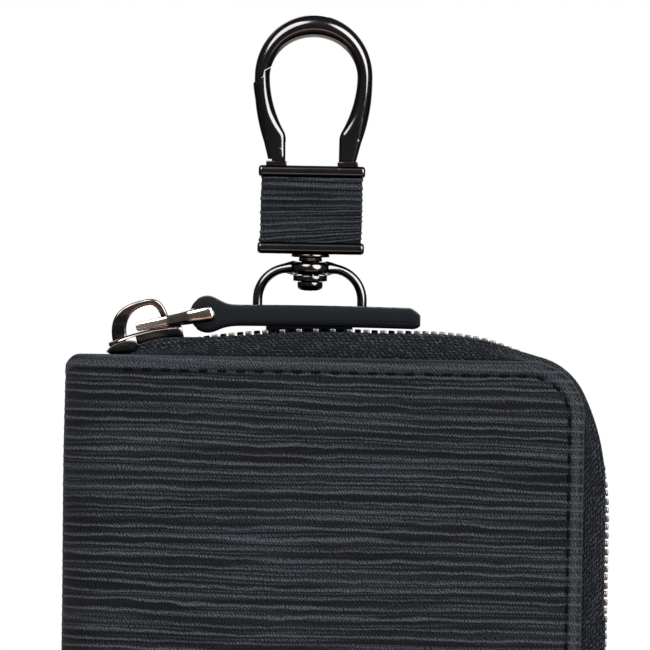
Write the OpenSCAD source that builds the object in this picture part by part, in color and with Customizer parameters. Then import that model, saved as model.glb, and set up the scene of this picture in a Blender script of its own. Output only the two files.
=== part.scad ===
// Zip-around leather key case, hanging from a spring snap hook.
// Millimetres. +Z up, X to the right as seen from the front, the front face at -Y.
// The origin is the inner top of the hook's bow, where the case hangs.

/* [Covers] */
// Width of the case from the spine to the free edge of the leather
cover_w = 77.5; // [70:0.5:90]
// Height of the case
cover_h = 110; // [100:1:130]
// Thickness over both covers
case_t = 22; // [20:0.5:25]
// Leather thickness
leather_t = 1.2; // [0.9:0.1:1.5]
// Stiffener board thickness
board_t = 0.65; // [0.6:0.05:0.9]
// Lining thickness
lining_t = 0.5; // [0.4:0.05:0.7]
// Radius of the two free corners
corner_r = 8.25; // [6:0.25:10]
// Radius of the two spine folds
spine_r = 6.8; // [6:0.1:7.5]
// Offset of the case's centre to the right of the hook
case_shift = 2.5; // [0:0.5:6]

/* [Zip] */
// Distance between two teeth of one row
tooth_pitch = 2.5; // [2.4:0.05:3]
// Length of a tooth along the chain
tooth_t = 0.95; // [0.8:0.05:1]
// Height of a tooth
tooth_h = 2.2; // [1.8:0.1:2.4]
// Half of the chain's width
chain_half_w = 3; // [2.8:0.1:3.2]
// Tape thickness
tape_t = 0.55; // [0.45:0.05:0.6]
// How far the teeth stand above the covers at the top
top_bulge = 4.4; // [3.5:0.1:5.5]
// How far the teeth stand past the covers at the side
side_bulge = 4; // [3:0.1:5]
// Radius of the chain round the corner
chain_corner_r = 8.5; // [8:0.1:10]
// Radius of the chain between the corner and the straight side
chain_side_r = 42; // [36:1:48]

/* [Slider] */
// Length of the slider body
slider_l = 11.2; // [10.5:0.1:12]
// Width of the slider at its mouth
slider_w = 8.6; // [8.4:0.1:9.4]
// Height of the slider body
slider_h = 4.6; // [4.4:0.1:5]
// Distance of the slider from the spine
slider_in = 12.35; // [12:0.05:16]
// Distance from the link's eye to the bar that carries the leather
link_l = 10.8; // [10.6:0.1:13]
// Length of the leather puller from its bar
pull_l = 31.6; // [26:0.2:36]
// Width of the leather puller
pull_w = 7.6; // [7:0.1:8]
// Thickness of one ply of the puller
pull_ply = 1.7; // [1.4:0.05:1.8]

/* [Hook] */
// Radius of the bow's centre line
bow_r = 7.7; // [7:0.1:9]
// Thickness of the bow at its top
bow_top_t = 3.4; // [3:0.1:3.8]
// Thickness of the bow at its sides
bow_side_t = 2.3; // [2:0.1:2.6]
// Thickness of the arms at their heels
bow_heel_t = 3.4; // [3:0.1:3.5]
// Depth of the bow, front to back
bow_depth = 4; // [3.8:0.1:4.6]
// Clear height inside the bow
bow_inner_h = 19.25; // [18.5:0.25:22]
// Length of the two bars
bar_l = 16; // [15.6:0.1:20]
// Height of the two bars
bar_h = 1.8; // [1.5:0.1:2.4]
// Depth of the two bars, front to back
bar_d = 4.4; // [4.2:0.1:5.2]
// Height of the leather wrap between the bars
wrap_h = 9.7; // [8:0.1:14]
// Depth over the leather wrap
wrap_d = 3.8; // [3.4:0.1:4]

/* [Ring and tab] */
// Rod diameter of the D-ring
ring_rod_d = 1.45; // [1.2:0.05:1.6]
// Width of the D-ring between rod centres
ring_w = 15.65; // [14.9:0.05:18]
// Height of the D-ring between rod centres
ring_h = 7.75; // [7.4:0.05:10]
// Radius of the D-ring's upper corners
ring_top_r = 4.7; // [4:0.1:5]
// Width of the hanger tab
tab_w = 13; // [11:0.1:13]
// Thickness of the tab's leather
tab_ply = 1; // [0.8:0.05:1.1]
// Length of the tab below the D-ring's bar
tab_l = 16.6; // [14:0.2:24]

/* [Key hooks] */
// Distance between two key hooks
hook_pitch = 9.4; // [9:0.1:10]
// Width of a key hook
key_w = 7.2; // [6.8:0.1:7.6]
// Height of a key hook's frame
key_h = 25; // [22:0.5:30]
// Thickness of a key hook
key_t = 1.7; // [1.4:0.1:2]
// Thickness of the rail's metal
rail_t = 0.9; // [0.7:0.1:1.2]

/* [Hidden] */
$fn = 64;

// Colours
gunmetal = [0.16, 0.16, 0.17];
hide = [0.11, 0.11, 0.12];
edge_paint = [0.2, 0.22, 0.24];
cloth = [0.09, 0.09, 0.1];
board_grey = [0.5, 0.48, 0.44];

// Clearances and small overruns
run_fit = 0.06;         // radial clearance of a pin or post in its bore
face_gap = 0.08;        // gap between faces that turn on each other
move_gap = 0.3;         // gap between bodies that pass each other
cut = 1;                // overrun of every cut

// Heights down the hanging chain of parts
bar_top_z = -bow_inner_h;
wrap_top_z = bar_top_z - bar_h;
wrap_low_z = wrap_top_z - wrap_h;
frame_low_z = wrap_low_z - bar_h;
flange_h = 0.45;
neck_h = 0.7;
boss_h = 1.9;
washer_h = 0.9;
rivet_h = 1.4;
boss_top_z = frame_low_z - flange_h - neck_h;
ring_top_z = boss_top_z - boss_h / 2;
ring_low_z = ring_top_z - ring_h;
tab_neck = 5.6;         // from the D-ring's bar to the top edge of the covers
case_top = ring_low_z - tab_neck;
case_low = case_top - cover_h;
case_mid_z = (case_top + case_low) / 2;

// Places across the case
case_left = case_shift - cover_w / 2;
case_right = case_shift + cover_w / 2;
half_t = case_t / 2;
mid_y = -(tab_ply + half_t);
fold_x = case_left + spine_r;
fold_gap = 0.3;         // each side of a fold line, where a panel ends
panel_x = fold_x + fold_gap;
spine_end_x = fold_x - fold_gap;
// Levels measured from the mid plane outwards
leather_u = half_t - leather_t;
board_u = leather_u - board_t;
lining_u = board_u - lining_t;

// 2D outline in X and Y drawn upright and made len deep along Y, centred
module along_y(len) rotate([90, 0, 0]) linear_extrude(len, center = true) children();
// 2D outline in X and Y laid into Y and Z and made len long along X, centred
module along_x(len) rotate([90, 0, 90]) linear_extrude(len, center = true) children();
// Centred 2D rectangle with round corners
module round_rect(w, h, r) {
    square([w - 2 * r, h], center = true);
    square([w, h - 2 * r], center = true);
    for (sx = [-1, 1], sy = [-1, 1])
        translate([sx * (w / 2 - r), sy * (h / 2 - r)]) circle(r);
}

// Points of a cubic curve with four control points
function bezier(p, steps) = [for (i = [0:steps]) let (a = i / steps, b = 1 - a)
    b * b * b * p[0] + 3 * b * b * a * p[1] + 3 * b * a * a * p[2] + a * a * a * p[3]];

// Closed tube skin over rings of equal point count, as triangles
function skin_faces(rings, sides) = concat(
    [for (i = [1:sides - 2]) [0, i + 1, i]],
    [for (r = [0:rings - 2], i = [0:sides - 1]) let (a = r * sides + i, b = r * sides + (i + 1) % sides)
        [a, b, b + sides]],
    [for (r = [0:rings - 2], i = [0:sides - 1]) let (a = r * sides + i, b = r * sides + (i + 1) % sides)
        [a, b + sides, a + sides]],
    [for (i = [1:sides - 2]) let (o = (rings - 1) * sides) [o, o + i, o + i + 1]]
);

// Hook bow: the arm's centre line runs from the top of the bow round a half circle, then leans in
// along a wide arc to the heel, turns back and goes straight down to the foot.
lean_r = 22;            // radius of the stretch that leans in
lean_turn = 24;         // degrees that it leans
heel_r = 3.5;           // radius of the turn back to upright
collar_h = 0.6;
foot_z = bar_top_z + collar_h;
bow_centre_z = bow_top_t / 2 - bow_r;
lean_end = [bow_r - lean_r + lean_r * cos(lean_turn), bow_centre_z - lean_r * sin(lean_turn)];
heel_end = [lean_end[0] - heel_r * (1 - cos(lean_turn)), lean_end[1] - heel_r * sin(lean_turn)];
foot_x = heel_end[0];
foot_t_share = 0.8;     // thickness of the foot as a share of the heel's
// One station of an arm: x, z, turn of the line from straight down, thickness
function bow_top_station(a) = [bow_r * cos(a), bow_centre_z + bow_r * sin(a), a,
    bow_side_t + (bow_top_t - bow_side_t) * sin(a) * sin(a)];
function bow_lean_station(a) = [bow_r - lean_r + lean_r * cos(a), bow_centre_z - lean_r * sin(a), -a,
    bow_side_t + (bow_heel_t - bow_side_t) * pow(a / lean_turn, 1.5)];
function bow_heel_station(a) = [heel_end[0] + heel_r * (1 - cos(a)), heel_end[1] + heel_r * sin(a), -a,
    bow_heel_t * (foot_t_share + (1 - foot_t_share) * a / lean_turn)];
function bow_foot_station(z) = [foot_x, z, 0, bow_heel_t * foot_t_share];
top_steps = 14;
lean_steps = 7;
heel_steps = 4;
arm_stations = concat(
    [for (i = [0:top_steps]) bow_top_station(90 - 90 * i / top_steps)],
    [for (i = [1:lean_steps]) bow_lean_station(lean_turn * i / lean_steps)],
    [for (i = [1:heel_steps]) bow_heel_station(lean_turn * (1 - i / heel_steps))],
    [bow_foot_station(foot_z)]
);
bow_sides = 16;
// Ring of points round a station; the section is a squared oval, side is 1 for the right arm
function bow_ring(s, side) = [for (i = [0:bow_sides - 1]) let (
        a = 360 * i / bow_sides,
        ca = sign(cos(a)) * pow(abs(cos(a)), 0.8),
        sa = sign(sin(a)) * pow(abs(sin(a)), 0.8),
        out = s[3] / 2 * ca)
    [side * (s[0] + out * cos(s[2])), bow_depth / 2 * sa, s[1] + out * sin(s[2])]];
module bow_sweep(stations)
    polyhedron([for (s = stations) each bow_ring(s[0], s[1])],
        skin_faces(len(stations), bow_sides));

// A stretch of an arm's stations; side 1 is the right arm, side -1 the left one
function arm(from, to, side) = [for (i = [from:sign(to - from):to]) [arm_stations[i], side]];
arm_end = top_steps + lean_steps + heel_steps + 1;

// The bow ends and the gate begins on a stepped line, seen from the front, so that the gate opens
// inwards only. Its points are shares of the bow's thickness, from the middle of the left side.
joint_gap = 0.12;
joint_z = bow_centre_z + bow_side_t / 4;
joint_shares = [[-1.43, -1.29], [-0.43, -0.61], [0.07, -0.27], [0.15, 0.15], [0.62, 0.41], [1.22, 0.74]];
joint_reach_share = 4;
// Everything above the line (side 1) or below it (side -1)
module past_joint(side)
    translate([-bow_r, 0, joint_z]) along_y(2 * bow_depth) polygon(concat(
        [for (p = joint_shares) bow_side_t * p + joint_gap / 2 * [sin(45), -sin(45)] * side],
        [for (p = [joint_shares[5], joint_shares[0]]) bow_side_t * [p[0], side * joint_reach_share]]));

// Foot of the gate: two cheeks astride the frame's lug, turning on the pin
gate_pin_r = 0.55;
foot_drop = bow_heel_t * 0.38;      // from the pin to the bottom of the cheeks
lug_r = bow_heel_t * 0.3;           // round top of the lug's two leaves
gate_pin_x = bow_heel_t * 0.13 - foot_x;
gate_pin_z = foot_z + move_gap + foot_drop;
cheek_t = 0.6;
leaf_t = 0.45;
slot_half = bow_depth / 2 - cheek_t;
lug_half = slot_half - face_gap;
spring_half = lug_half - leaf_t;
fix_fit = 0.01;         // clearance of a fixed pin in its hole

// Bar of a given half depth about the gate's pin
module at_gate_pin(half, r) translate([gate_pin_x, 0, gate_pin_z]) along_y(2 * half) circle(r);

module hook_bow() color(gunmetal) difference() {
    bow_sweep(concat(arm(arm_end, 0, 1), arm(1, top_steps + 1, -1)));
    past_joint(-1);
}

module hook_gate() color(gunmetal) difference() {
    bow_sweep(arm(top_steps - 4, arm_end, -1));
    past_joint(1);
    translate([gate_pin_x, 0, gate_pin_z]) along_y(2 * bow_depth) {
        translate([-bow_r, -bow_r - foot_drop]) square([bow_r, bow_r]);
        difference() {
            translate([0, -bow_r]) square(bow_r);
            circle(foot_drop);
        }
    }
    at_gate_pin(bow_depth, gate_pin_r + run_fit);
    at_gate_pin(slot_half, lug_r + move_gap);
    translate([gate_pin_x, 0, gate_pin_z - bow_r]) cube([2 * bow_r, 2 * slot_half, 2 * bow_r], center = true);
}

module gate_pin() color(gunmetal) at_gate_pin(bow_depth / 2, gate_pin_r);

// Torsion spring round the pin: one leg down on the frame, the coil, one leg up behind the gate
wire_d = 0.22;
coil_pitch = 0.64;
coil_r = gate_pin_r + wire_d;
coil_turns = 2;
coil_steps = 16;        // rings in a turn
wire_sides = 6;
leg_l = lug_r * 0.95;
function coil_point(i) = let (a = 180 - 360 * i / coil_steps)
    [coil_r * cos(a), coil_pitch * (i / coil_steps - coil_turns / 2), coil_r * sin(a)];
coil_points = [for (i = [0:coil_steps * coil_turns]) coil_point(i)];
spring_points = concat([coil_points[0] - [0, 0, leg_l]], coil_points,
    [coil_points[coil_steps * coil_turns] + [0, 0, leg_l]]);
function wire_ring(i) = let (
        c = spring_points[i],
        d = spring_points[min(i + 1, len(spring_points) - 1)] - spring_points[max(i - 1, 0)],
        n = cross(d, [0, 1, 0]) / norm(cross(d, [0, 1, 0])),
        m = cross(n, d) / norm(d))
    [for (k = [0:wire_sides - 1]) let (a = 360 * k / wire_sides)
        c + wire_d / 2 * (cos(a) * n + sin(a) * m)];
echo("least gap of the gate spring, mm", min([for (i = [0:coil_steps])
    norm(coil_point(i) - coil_point(i + coil_steps)) - wire_d]));

module gate_spring() color(gunmetal) translate([gate_pin_x, 0, gate_pin_z])
    polyhedron([for (i = [0:len(spring_points) - 1]) each wire_ring(i)],
        skin_faces(len(spring_points), wire_sides));

// Hook frame: upper bar, core plate under the leather, lower bar, a collar under each arm, the gate's lug
core_w = bar_l - 3 * bar_h / 2;
core_t = wrap_d * 0.42;
wrap_w = bar_l - bar_h / 2;
bar_edge_r = bar_h / 3;
tenon_r = 0.9;
tenon_h = bar_h * 0.7;
module bar(low_z) translate([0, 0, low_z]) linear_extrude(bar_h) round_rect(bar_l, bar_d, bar_edge_r);
module hook_frame() color(gunmetal) difference() {
    union() {
        bar(wrap_top_z);
        bar(frame_low_z);
        translate([0, 0, wrap_low_z]) linear_extrude(wrap_h) square([core_w, core_t], center = true);
        for (side = [-1, 1]) translate([side * foot_x, 0, bar_top_z])
            linear_extrude(collar_h) round_rect(bow_heel_t, bar_d, bar_edge_r);
        for (side = [-1, 1])
            translate([gate_pin_x, side * (spring_half + leaf_t / 2), gate_pin_z]) along_y(leaf_t) {
                circle(lug_r);
                translate([-lug_r, foot_z - gate_pin_z]) square([2 * lug_r, gate_pin_z - foot_z]);
            }
    }
    at_gate_pin(bow_depth, gate_pin_r + fix_fit);
    translate([0, 0, frame_low_z - cut]) cylinder(r = tenon_r + fix_fit, h = tenon_h + cut);
}

module wrap_leather() color(hide) translate([0, 0, wrap_low_z]) linear_extrude(wrap_h) difference() {
    round_rect(wrap_w, wrap_d, wrap_d / 4);
    square([core_w, core_t], center = true);
}

// Swivel: a post riveted under the frame turns in the boss of the D-ring
post_r = 1.3;
flange_r = 2.85;
neck_r = 1.75;
boss_r = 2.95;
washer_r = 2.55;
rivet_r = 1.9;
rivet_top_z = boss_top_z - boss_h - washer_h - 2 * face_gap;
module swivel_post() color(gunmetal) rotate_extrude() polygon([
    [0, frame_low_z + tenon_h], [tenon_r, frame_low_z + tenon_h], [tenon_r, frame_low_z],
    [flange_r, frame_low_z], [flange_r, frame_low_z - flange_h],
    [neck_r, frame_low_z - flange_h], [neck_r, boss_top_z + face_gap], [post_r, boss_top_z + face_gap],
    [post_r, rivet_top_z], [rivet_r, rivet_top_z],
    for (a = [0:15:75]) [rivet_r * (0.6 + 0.4 * cos(a)), rivet_top_z - rivet_h * (0.4 + 0.6 * sin(a))],
    [0, rivet_top_z - rivet_h]]);

module swivel_washer() color(gunmetal) translate([0, 0, rivet_top_z + face_gap / 2])
    linear_extrude(washer_h) difference() {
        circle(washer_r);
        circle(post_r + fix_fit);
    }

// D-ring: round rod bent to a flattened D, with the boss in the middle of its upper side
ring_rod_r = ring_rod_d / 2;
ring_low_r = 1.55;      // radius of the lower corners
ring_half = ring_w / 2;
module ring_rod(from, to) translate(from) rotate([0, atan2(to[0] - from[0], to[2] - from[2]), 0])
    cylinder(r = ring_rod_r, h = norm(to - from));
module ring_corner(centre, r, start) translate(centre) rotate([90, 0, 0])
    rotate([0, 0, start]) rotate_extrude(angle = 90) translate([r, 0]) circle(ring_rod_r);
// The bent rod without the two stretches that run into the boss
module ring_hoop() {
    ring_rod([ring_low_r - ring_half, 0, ring_low_z], [ring_half - ring_low_r, 0, ring_low_z]);
    for (side = [-1, 1])
        ring_rod([side * ring_half, 0, ring_low_z + ring_low_r],
            [side * ring_half, 0, ring_top_z - ring_top_r]);
    ring_corner([ring_half - ring_top_r, 0, ring_top_z - ring_top_r], ring_top_r, 0);
    ring_corner([ring_top_r - ring_half, 0, ring_top_z - ring_top_r], ring_top_r, 90);
    ring_corner([ring_low_r - ring_half, 0, ring_low_z + ring_low_r], ring_low_r, 180);
    ring_corner([ring_half - ring_low_r, 0, ring_low_z + ring_low_r], ring_low_r, 270);
}
module d_ring() color(gunmetal) difference() {
    union() {
        ring_hoop();
        ring_rod([ring_top_r - ring_half, 0, ring_top_z], [-boss_r / 2, 0, ring_top_z]);
        ring_rod([boss_r / 2, 0, ring_top_z], [ring_half - ring_top_r, 0, ring_top_z]);
        translate([0, 0, boss_top_z - boss_h]) cylinder(r = boss_r, h = boss_h);
    }
    translate([0, 0, boss_top_z - boss_h - cut]) cylinder(r = post_r + run_fit, h = boss_h + 2 * cut);
}

// Hanger tab: strap folded round the D-ring's bar, its two plies sewn flat on the back cover
tab_hole_r = ring_rod_r + 2 * run_fit;
tab_loop_r = tab_hole_r + tab_ply;
module hanger_tab() color(hide) difference() {
    union() {
        translate([0, 0, ring_low_z]) along_x(tab_w) circle(tab_loop_r);
        translate([0, 0, ring_low_z - tab_l / 2]) cube([tab_w, 2 * tab_ply, tab_l], center = true);
    }
    translate([0, 0, ring_low_z]) along_x(tab_w + cut) circle(tab_hole_r);
}

// Outline of a panel from its fold line to the free edge, drawn in by an inset on its three free sides
module panel_outline(inset) {
    r = max(corner_r - inset, leather_t);
    right = case_right - inset;
    low = case_low + inset;
    top = case_top - inset;
    translate([panel_x, low]) square([right - r - panel_x, top - low]);
    translate([right - r - cut, low + r]) square([r + cut, top - low - 2 * r]);
    for (z = [low + r, top - r]) translate([right - r, z]) circle(r);
}
// Flat sheet with that outline, from one level to the next, on the back (side 1) or front (side -1)
module panel_sheet(side, inner_u, outer_u, inset)
    translate([0, mid_y + side * (inner_u + outer_u) / 2, 0])
        along_y(outer_u - inner_u) panel_outline(inset);

flange_w = 4.5;         // width of tape inside the seam
board_inset = flange_w + move_gap;
lining_inset = leather_t;
rivet_hole_r = 1.2;
rail_top_drop = 9;      // from the top edge of the covers to the rail
rail_h = 9;
rail_rivet_z = case_top - rail_top_drop - rail_h / 2;
rail_l = 6 * hook_pitch + 2 * rail_t;
rail_rivet_x = rail_l / 2 - rail_h / 2;
module rivet_places() for (side = [-1, 1])
    translate([case_shift + side * rail_rivet_x, 0, rail_rivet_z]) children();
module rivet_holes() rivet_places() translate([0, mid_y + lining_u, 0]) along_y(case_t / 2) circle(rivet_hole_r);

module front_cover() color(hide) panel_sheet(-1, leather_u, half_t, 0);
module front_board() color(board_grey) panel_sheet(-1, board_u, leather_u, board_inset);
module front_lining() color(cloth) panel_sheet(-1, lining_u, board_u, lining_inset);
module back_cover() color(hide) panel_sheet(1, leather_u, half_t, 0);
module back_board() color(board_grey) difference() {
    panel_sheet(1, board_u, leather_u, board_inset);
    rivet_holes();
}
module back_lining() color(cloth) difference() {
    panel_sheet(1, lining_u, board_u, lining_inset);
    rivet_holes();
}

// Spine: flat strip with a quarter round at each side, ending at the fold lines
spine_corner_r = 1.4;   // round of the spine's own top and bottom corners
module spine_section(outer, inner) difference() {
    spine_outline(outer);
    spine_outline(inner);
    translate([spine_end_x, mid_y - case_t]) square([case_t, 2 * case_t]);
}
// Rounded block outline of the case seen from above, drawn in by an inset
module spine_outline(inset) translate([fold_x, mid_y]) {
    r = spine_r - inset;
    for (side = [-1, 1]) translate([0, side * (half_t - spine_r)]) circle(r);
    translate([-r, spine_r - half_t]) square([r, case_t - 2 * spine_r]);
}
module spine_bend(outer, inner, inset) intersection() {
    translate([0, 0, case_low + inset]) linear_extrude(cover_h - 2 * inset) spine_section(outer, inner);
    translate([case_left + case_t / 2, mid_y, case_mid_z]) along_y(2 * case_t)
        round_rect(case_t, cover_h, spine_corner_r);
}
module spine_cover() color(hide) spine_bend(0, leather_t, 0);
module spine_lining() color(cloth) spine_bend(leather_t, leather_t + lining_t, lining_inset);

// Card pocket: a panel on a low rim that is sewn to the front lining on three sides, open at the top
pocket_w_share = 0.78;
pocket_h_share = 0.53;
pocket_rim_w = 2.5;
pocket_slot = 0.9;
pocket_t = 1;
notch_r = 8;
module card_pocket() color(hide) {
    w = (case_right - panel_x) * pocket_w_share;
    h = cover_h * pocket_h_share;
    x = (case_right + panel_x) / 2;
    z = case_low + board_inset + h / 2;
    translate([x, mid_y - lining_u + pocket_slot / 2, z]) along_y(pocket_slot) difference() {
        square([w, h], center = true);
        translate([0, pocket_rim_w]) square([w - 2 * pocket_rim_w, h], center = true);
    }
    translate([x, mid_y - lining_u + pocket_slot + pocket_t / 2, z]) along_y(pocket_t) difference() {
        square([w, h], center = true);
        translate([0, h / 2]) circle(notch_r);
    }
}

// Chain of the zip: an arc over the top, a tight arc round the corner, a wide arc and a straight side,
// mirrored about the middle of the height. The turn is measured from straight up, clockwise.
top_turn = 14;
corner_turn = 64;
arc_shift = 1.1;        // from the case's centre to the highest point of the chain
chain_start_gap = 0.2;  // from the end of the front and back panels to the end of the tapes
chain_start_x = panel_x - chain_start_gap / 2;
chain_side_x = case_right + side_bulge - tooth_h / 2;
chain_top_z = case_top + top_bulge - tooth_h / 2;
corner_centre_x = chain_side_x - chain_side_r + (chain_side_r - chain_corner_r) * sin(corner_turn);
arc_centre_x = case_shift + arc_shift;
chain_top_r = chain_corner_r + (corner_centre_x - arc_centre_x) / sin(top_turn);
arc_centre = [arc_centre_x, chain_top_z - chain_top_r];
corner_centre = arc_centre + (chain_top_r - chain_corner_r) * [sin(top_turn), cos(top_turn)];
side_centre = corner_centre - (chain_side_r - chain_corner_r) * [sin(corner_turn), cos(corner_turn)];
start_turn = asin((chain_start_x - arc_centre_x) / chain_top_r);
function arc_len(r, turn) = r * turn * PI / 180;
top_len = arc_len(chain_top_r, top_turn - start_turn);
corner_len = arc_len(chain_corner_r, corner_turn - top_turn);
side_len = arc_len(chain_side_r, 90 - corner_turn);
straight_len = side_centre[1] - case_mid_z;
half_len = top_len + corner_len + side_len + straight_len;
chain_len = 2 * half_len;
function arc_place(c, r, turn) = [c[0] + r * sin(turn), c[1] + r * cos(turn), turn];
// Place of a point of the chain at a distance along it: x, z, turn
function chain_upper(s) =
    s < top_len ? arc_place(arc_centre, chain_top_r, start_turn + s / chain_top_r * 180 / PI)
    : s < top_len + corner_len
        ? arc_place(corner_centre, chain_corner_r, top_turn + (s - top_len) / chain_corner_r * 180 / PI)
    : s < half_len - straight_len
        ? arc_place(side_centre, chain_side_r,
            corner_turn + (s - top_len - corner_len) / chain_side_r * 180 / PI)
    : [chain_side_x, case_mid_z + half_len - s, 90];
function chain_at(s) = s <= half_len ? chain_upper(s)
    : let (p = chain_upper(chain_len - s)) [p[0], 2 * case_mid_z - p[1], 180 - p[2]];
// Distance along the top arc of the chain's point at a given x
function chain_at_x(x) = arc_len(chain_top_r, asin((x - arc_centre_x) / chain_top_r) - start_turn);
// Puts children drawn about the chain's centre line at a distance along it: X along it, Z outwards
module on_chain(s) {
    p = chain_at(s);
    translate([p[0], mid_y, p[1]]) rotate([0, p[2], 0]) children();
}
// Puts children drawn for the back half on the back (side 1) or the front (side -1)
module half(side) translate([0, mid_y, 0]) mirror([0, side < 0 ? 1 : 0, 0]) translate([0, -mid_y, 0]) children();

// Tape: flat beside the teeth, then rounded down to the cover's edge and into the seam
tape_in = chain_half_w * 0.45;
tape_flat = slider_w / 2 + move_gap;
tape_seam_u = leather_u - tape_t * 0.55;
tape_bend = [18, 36, 54, 72, 90];
// Nearest point of the cover's edge and its outward direction
function edge_at(p) =
    p[1] < case_mid_z ? let (e = edge_at([p[0], 2 * case_mid_z - p[1]]))
        [[e[0][0], 2 * case_mid_z - e[0][1]], [e[1][0], -e[1][1]]]
    : let (c = [case_right - corner_r, case_top - corner_r])
        p[0] <= c[0] ? [[p[0], case_top], [0, 1]]
        : p[1] <= c[1] ? [[case_right, p[1]], [1, 0]]
        : let (d = [p[0] - c[0], p[1] - c[1]] / norm([p[0] - c[0], p[1] - c[1]])) [c + corner_r * d, d];
// One side of the tape's section at a station: side 1 is its outer face, side -1 its inner face
function tape_face(s, side) = let (
        p = chain_at(s), c = [p[0], p[1]], n = [sin(p[2]), cos(p[2])], e = edge_at(c), h = side * tape_t / 2)
    concat(
        [for (u = [tape_in, tape_flat]) let (q = c + h * n) [q[0], mid_y + u, q[1]]],
        [for (a = tape_bend) let (q = e[0] + (c - e[0]) * cos(a) + h * cos(a) * n)
            [q[0], mid_y + tape_flat + (tape_seam_u - tape_flat) * sin(a) + h * sin(a), q[1]]],
        [let (q = e[0] - flange_w * e[1]) [q[0], mid_y + tape_seam_u + h, q[1]]]);
function backwards(list) = [for (i = [len(list) - 1:-1:0]) list[i]];
function spread(from, to, n) = [for (i = [0:n - 1]) from + (to - from) * i / n];
tape_half_stations = concat(spread(0, top_len, 12), spread(top_len, top_len + corner_len, 8),
    spread(top_len + corner_len, half_len - straight_len, 5), [half_len - straight_len]);
tape_stations = concat(tape_half_stations, [for (s = backwards(tape_half_stations)) chain_len - s]);
tape_sides = 2 * (3 + len(tape_bend));
module zip_tape(side) half(side)
    polyhedron([for (s = tape_stations) each concat(tape_face(s, 1), backwards(tape_face(s, -1)))],
        skin_faces(len(tape_stations), tape_sides));
module zip_tape_front() color(cloth) zip_tape(-1);
module zip_tape_back() color(cloth) zip_tape(1);

// Teeth: each has a head past the mid plane and a jaw that grips the tape's edge
head_u = chain_half_w * 0.25;
head_h = tooth_h * 0.7;
jaw_gap = tape_t + run_fit * 2;
slider_s = chain_at_x(case_left + slider_in);
post_l = slider_l * 0.23;           // the slider's own post, between the two tapes
teeth_start = slider_s - slider_l / 2 + post_l + 2 * tooth_t;
teeth_end = chain_len - slider_l / 2;
teeth_count = floor((teeth_end - teeth_start) / tooth_pitch);
module tooth() along_x(tooth_t) difference() {
    union() {
        translate([-head_u, -head_h / 2]) square([2 * head_u, head_h]);
        translate([head_u, -tooth_h / 2]) square([chain_half_w - head_u, tooth_h]);
    }
    translate([tape_in - run_fit, -jaw_gap / 2]) square([chain_half_w, jaw_gap]);
}
module teeth_row(offset_share) for (i = [0:teeth_count - 1])
    on_chain(teeth_start + (i + offset_share) * tooth_pitch) tooth();
module zip_teeth_back() color(gunmetal) teeth_row(0);
module zip_teeth_front() color(gunmetal) half(-1) teeth_row(0.5);

// Folded and sealed ends of the tapes beside the slider, at the top and at the bottom
end_l = 2.9;
end_h = 1.6;
end_w = 4;
end_z = max(case_top, chain_at(end_l)[1] + tape_t / 2) + (face_gap + end_h) / 2;
module zip_ends(side) half(side) for (z = [end_z, 2 * case_mid_z - end_z])
    translate([chain_start_x + end_l / 2, mid_y + tape_flat + end_w / 2, z])
        rotate([90, 0, 90]) linear_extrude(end_l, center = true) round_rect(end_w, end_h, end_h * 0.3);
module zip_ends_front() color(cloth) zip_ends(-1);
module zip_ends_back() color(cloth) zip_ends(1);

// Slider body: two plates joined by a post at the mouth, with side flanges that leave a slot for the tape
plate_t = slider_h * 0.2;
slider_bore_h = slider_h - 2 * plate_t;
flange_in = chain_half_w + move_gap;
tape_slot = 1.0;
tail_w_share = 0.93;
post_w = tape_in * 1.3;
module slider_outline() {
    nose_r = slider_w / 4;
    translate([nose_r - slider_l / 2, 0]) for (side = [-1, 1])
        translate([0, side * (slider_w / 2 - nose_r)]) circle(nose_r);
    translate([-slider_l / 2, nose_r - slider_w / 2]) square([2 * nose_r, slider_w - 2 * nose_r]);
    polygon([[nose_r - slider_l / 2, -slider_w / 2], [slider_l / 2, -slider_w * tail_w_share / 2],
        [slider_l / 2, slider_w * tail_w_share / 2], [nose_r - slider_l / 2, slider_w / 2]]);
}
module slider_body() color(gunmetal) on_chain(slider_s) {
    difference() {
        translate([0, 0, -slider_h / 2]) linear_extrude(slider_h) slider_outline();
        cube([slider_l + cut, 2 * flange_in, slider_bore_h], center = true);
        cube([slider_l + cut, slider_w + cut, tape_slot], center = true);
    }
    translate([-slider_l / 2 + post_l / 2, 0, -slider_bore_h / 2]) linear_extrude(slider_bore_h)
        round_rect(post_l, post_w, post_w * 0.3);
}

// Bridge: arched band on the slider's upper plate, wider at its foot over the mouth
bridge_w = 2.2;
bridge_rise = 5.25;     // height of the arch over the plate
bridge_band = 1;        // thickness at its top
bridge_back = 5.1;      // reach of the foot at the mouth, from the slider's centre
bridge_front = 3.9;     // reach of the foot at the tail
bridge_foot = 2.1;      // thickness of the foot at the mouth
plate_z = slider_h / 2;
bridge_top = plate_z + bridge_rise;
bridge_crest = bridge_front * 0.3;
bridge_outer = concat(
    bezier([[-bridge_back, plate_z], [-bridge_back, plate_z + bridge_rise * 0.88],
        [-bridge_back * 0.42, bridge_top], [bridge_crest, bridge_top]], 10),
    bezier([[bridge_crest, bridge_top], [bridge_front * 0.82, bridge_top],
        [bridge_front, plate_z + bridge_rise * 0.63], [bridge_front, plate_z]], 8));
bridge_inner = concat(
    bezier([[bridge_front - bridge_band, plate_z], [bridge_front - bridge_band, plate_z + bridge_rise * 0.55],
        [bridge_front * 0.62, bridge_top - bridge_band], [bridge_crest, bridge_top - bridge_band]], 8),
    bezier([[bridge_crest, bridge_top - bridge_band], [-bridge_back * 0.3, bridge_top - bridge_band],
        [bridge_foot - bridge_back, plate_z + bridge_rise * 0.55], [bridge_foot - bridge_back, plate_z]], 10));
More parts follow.
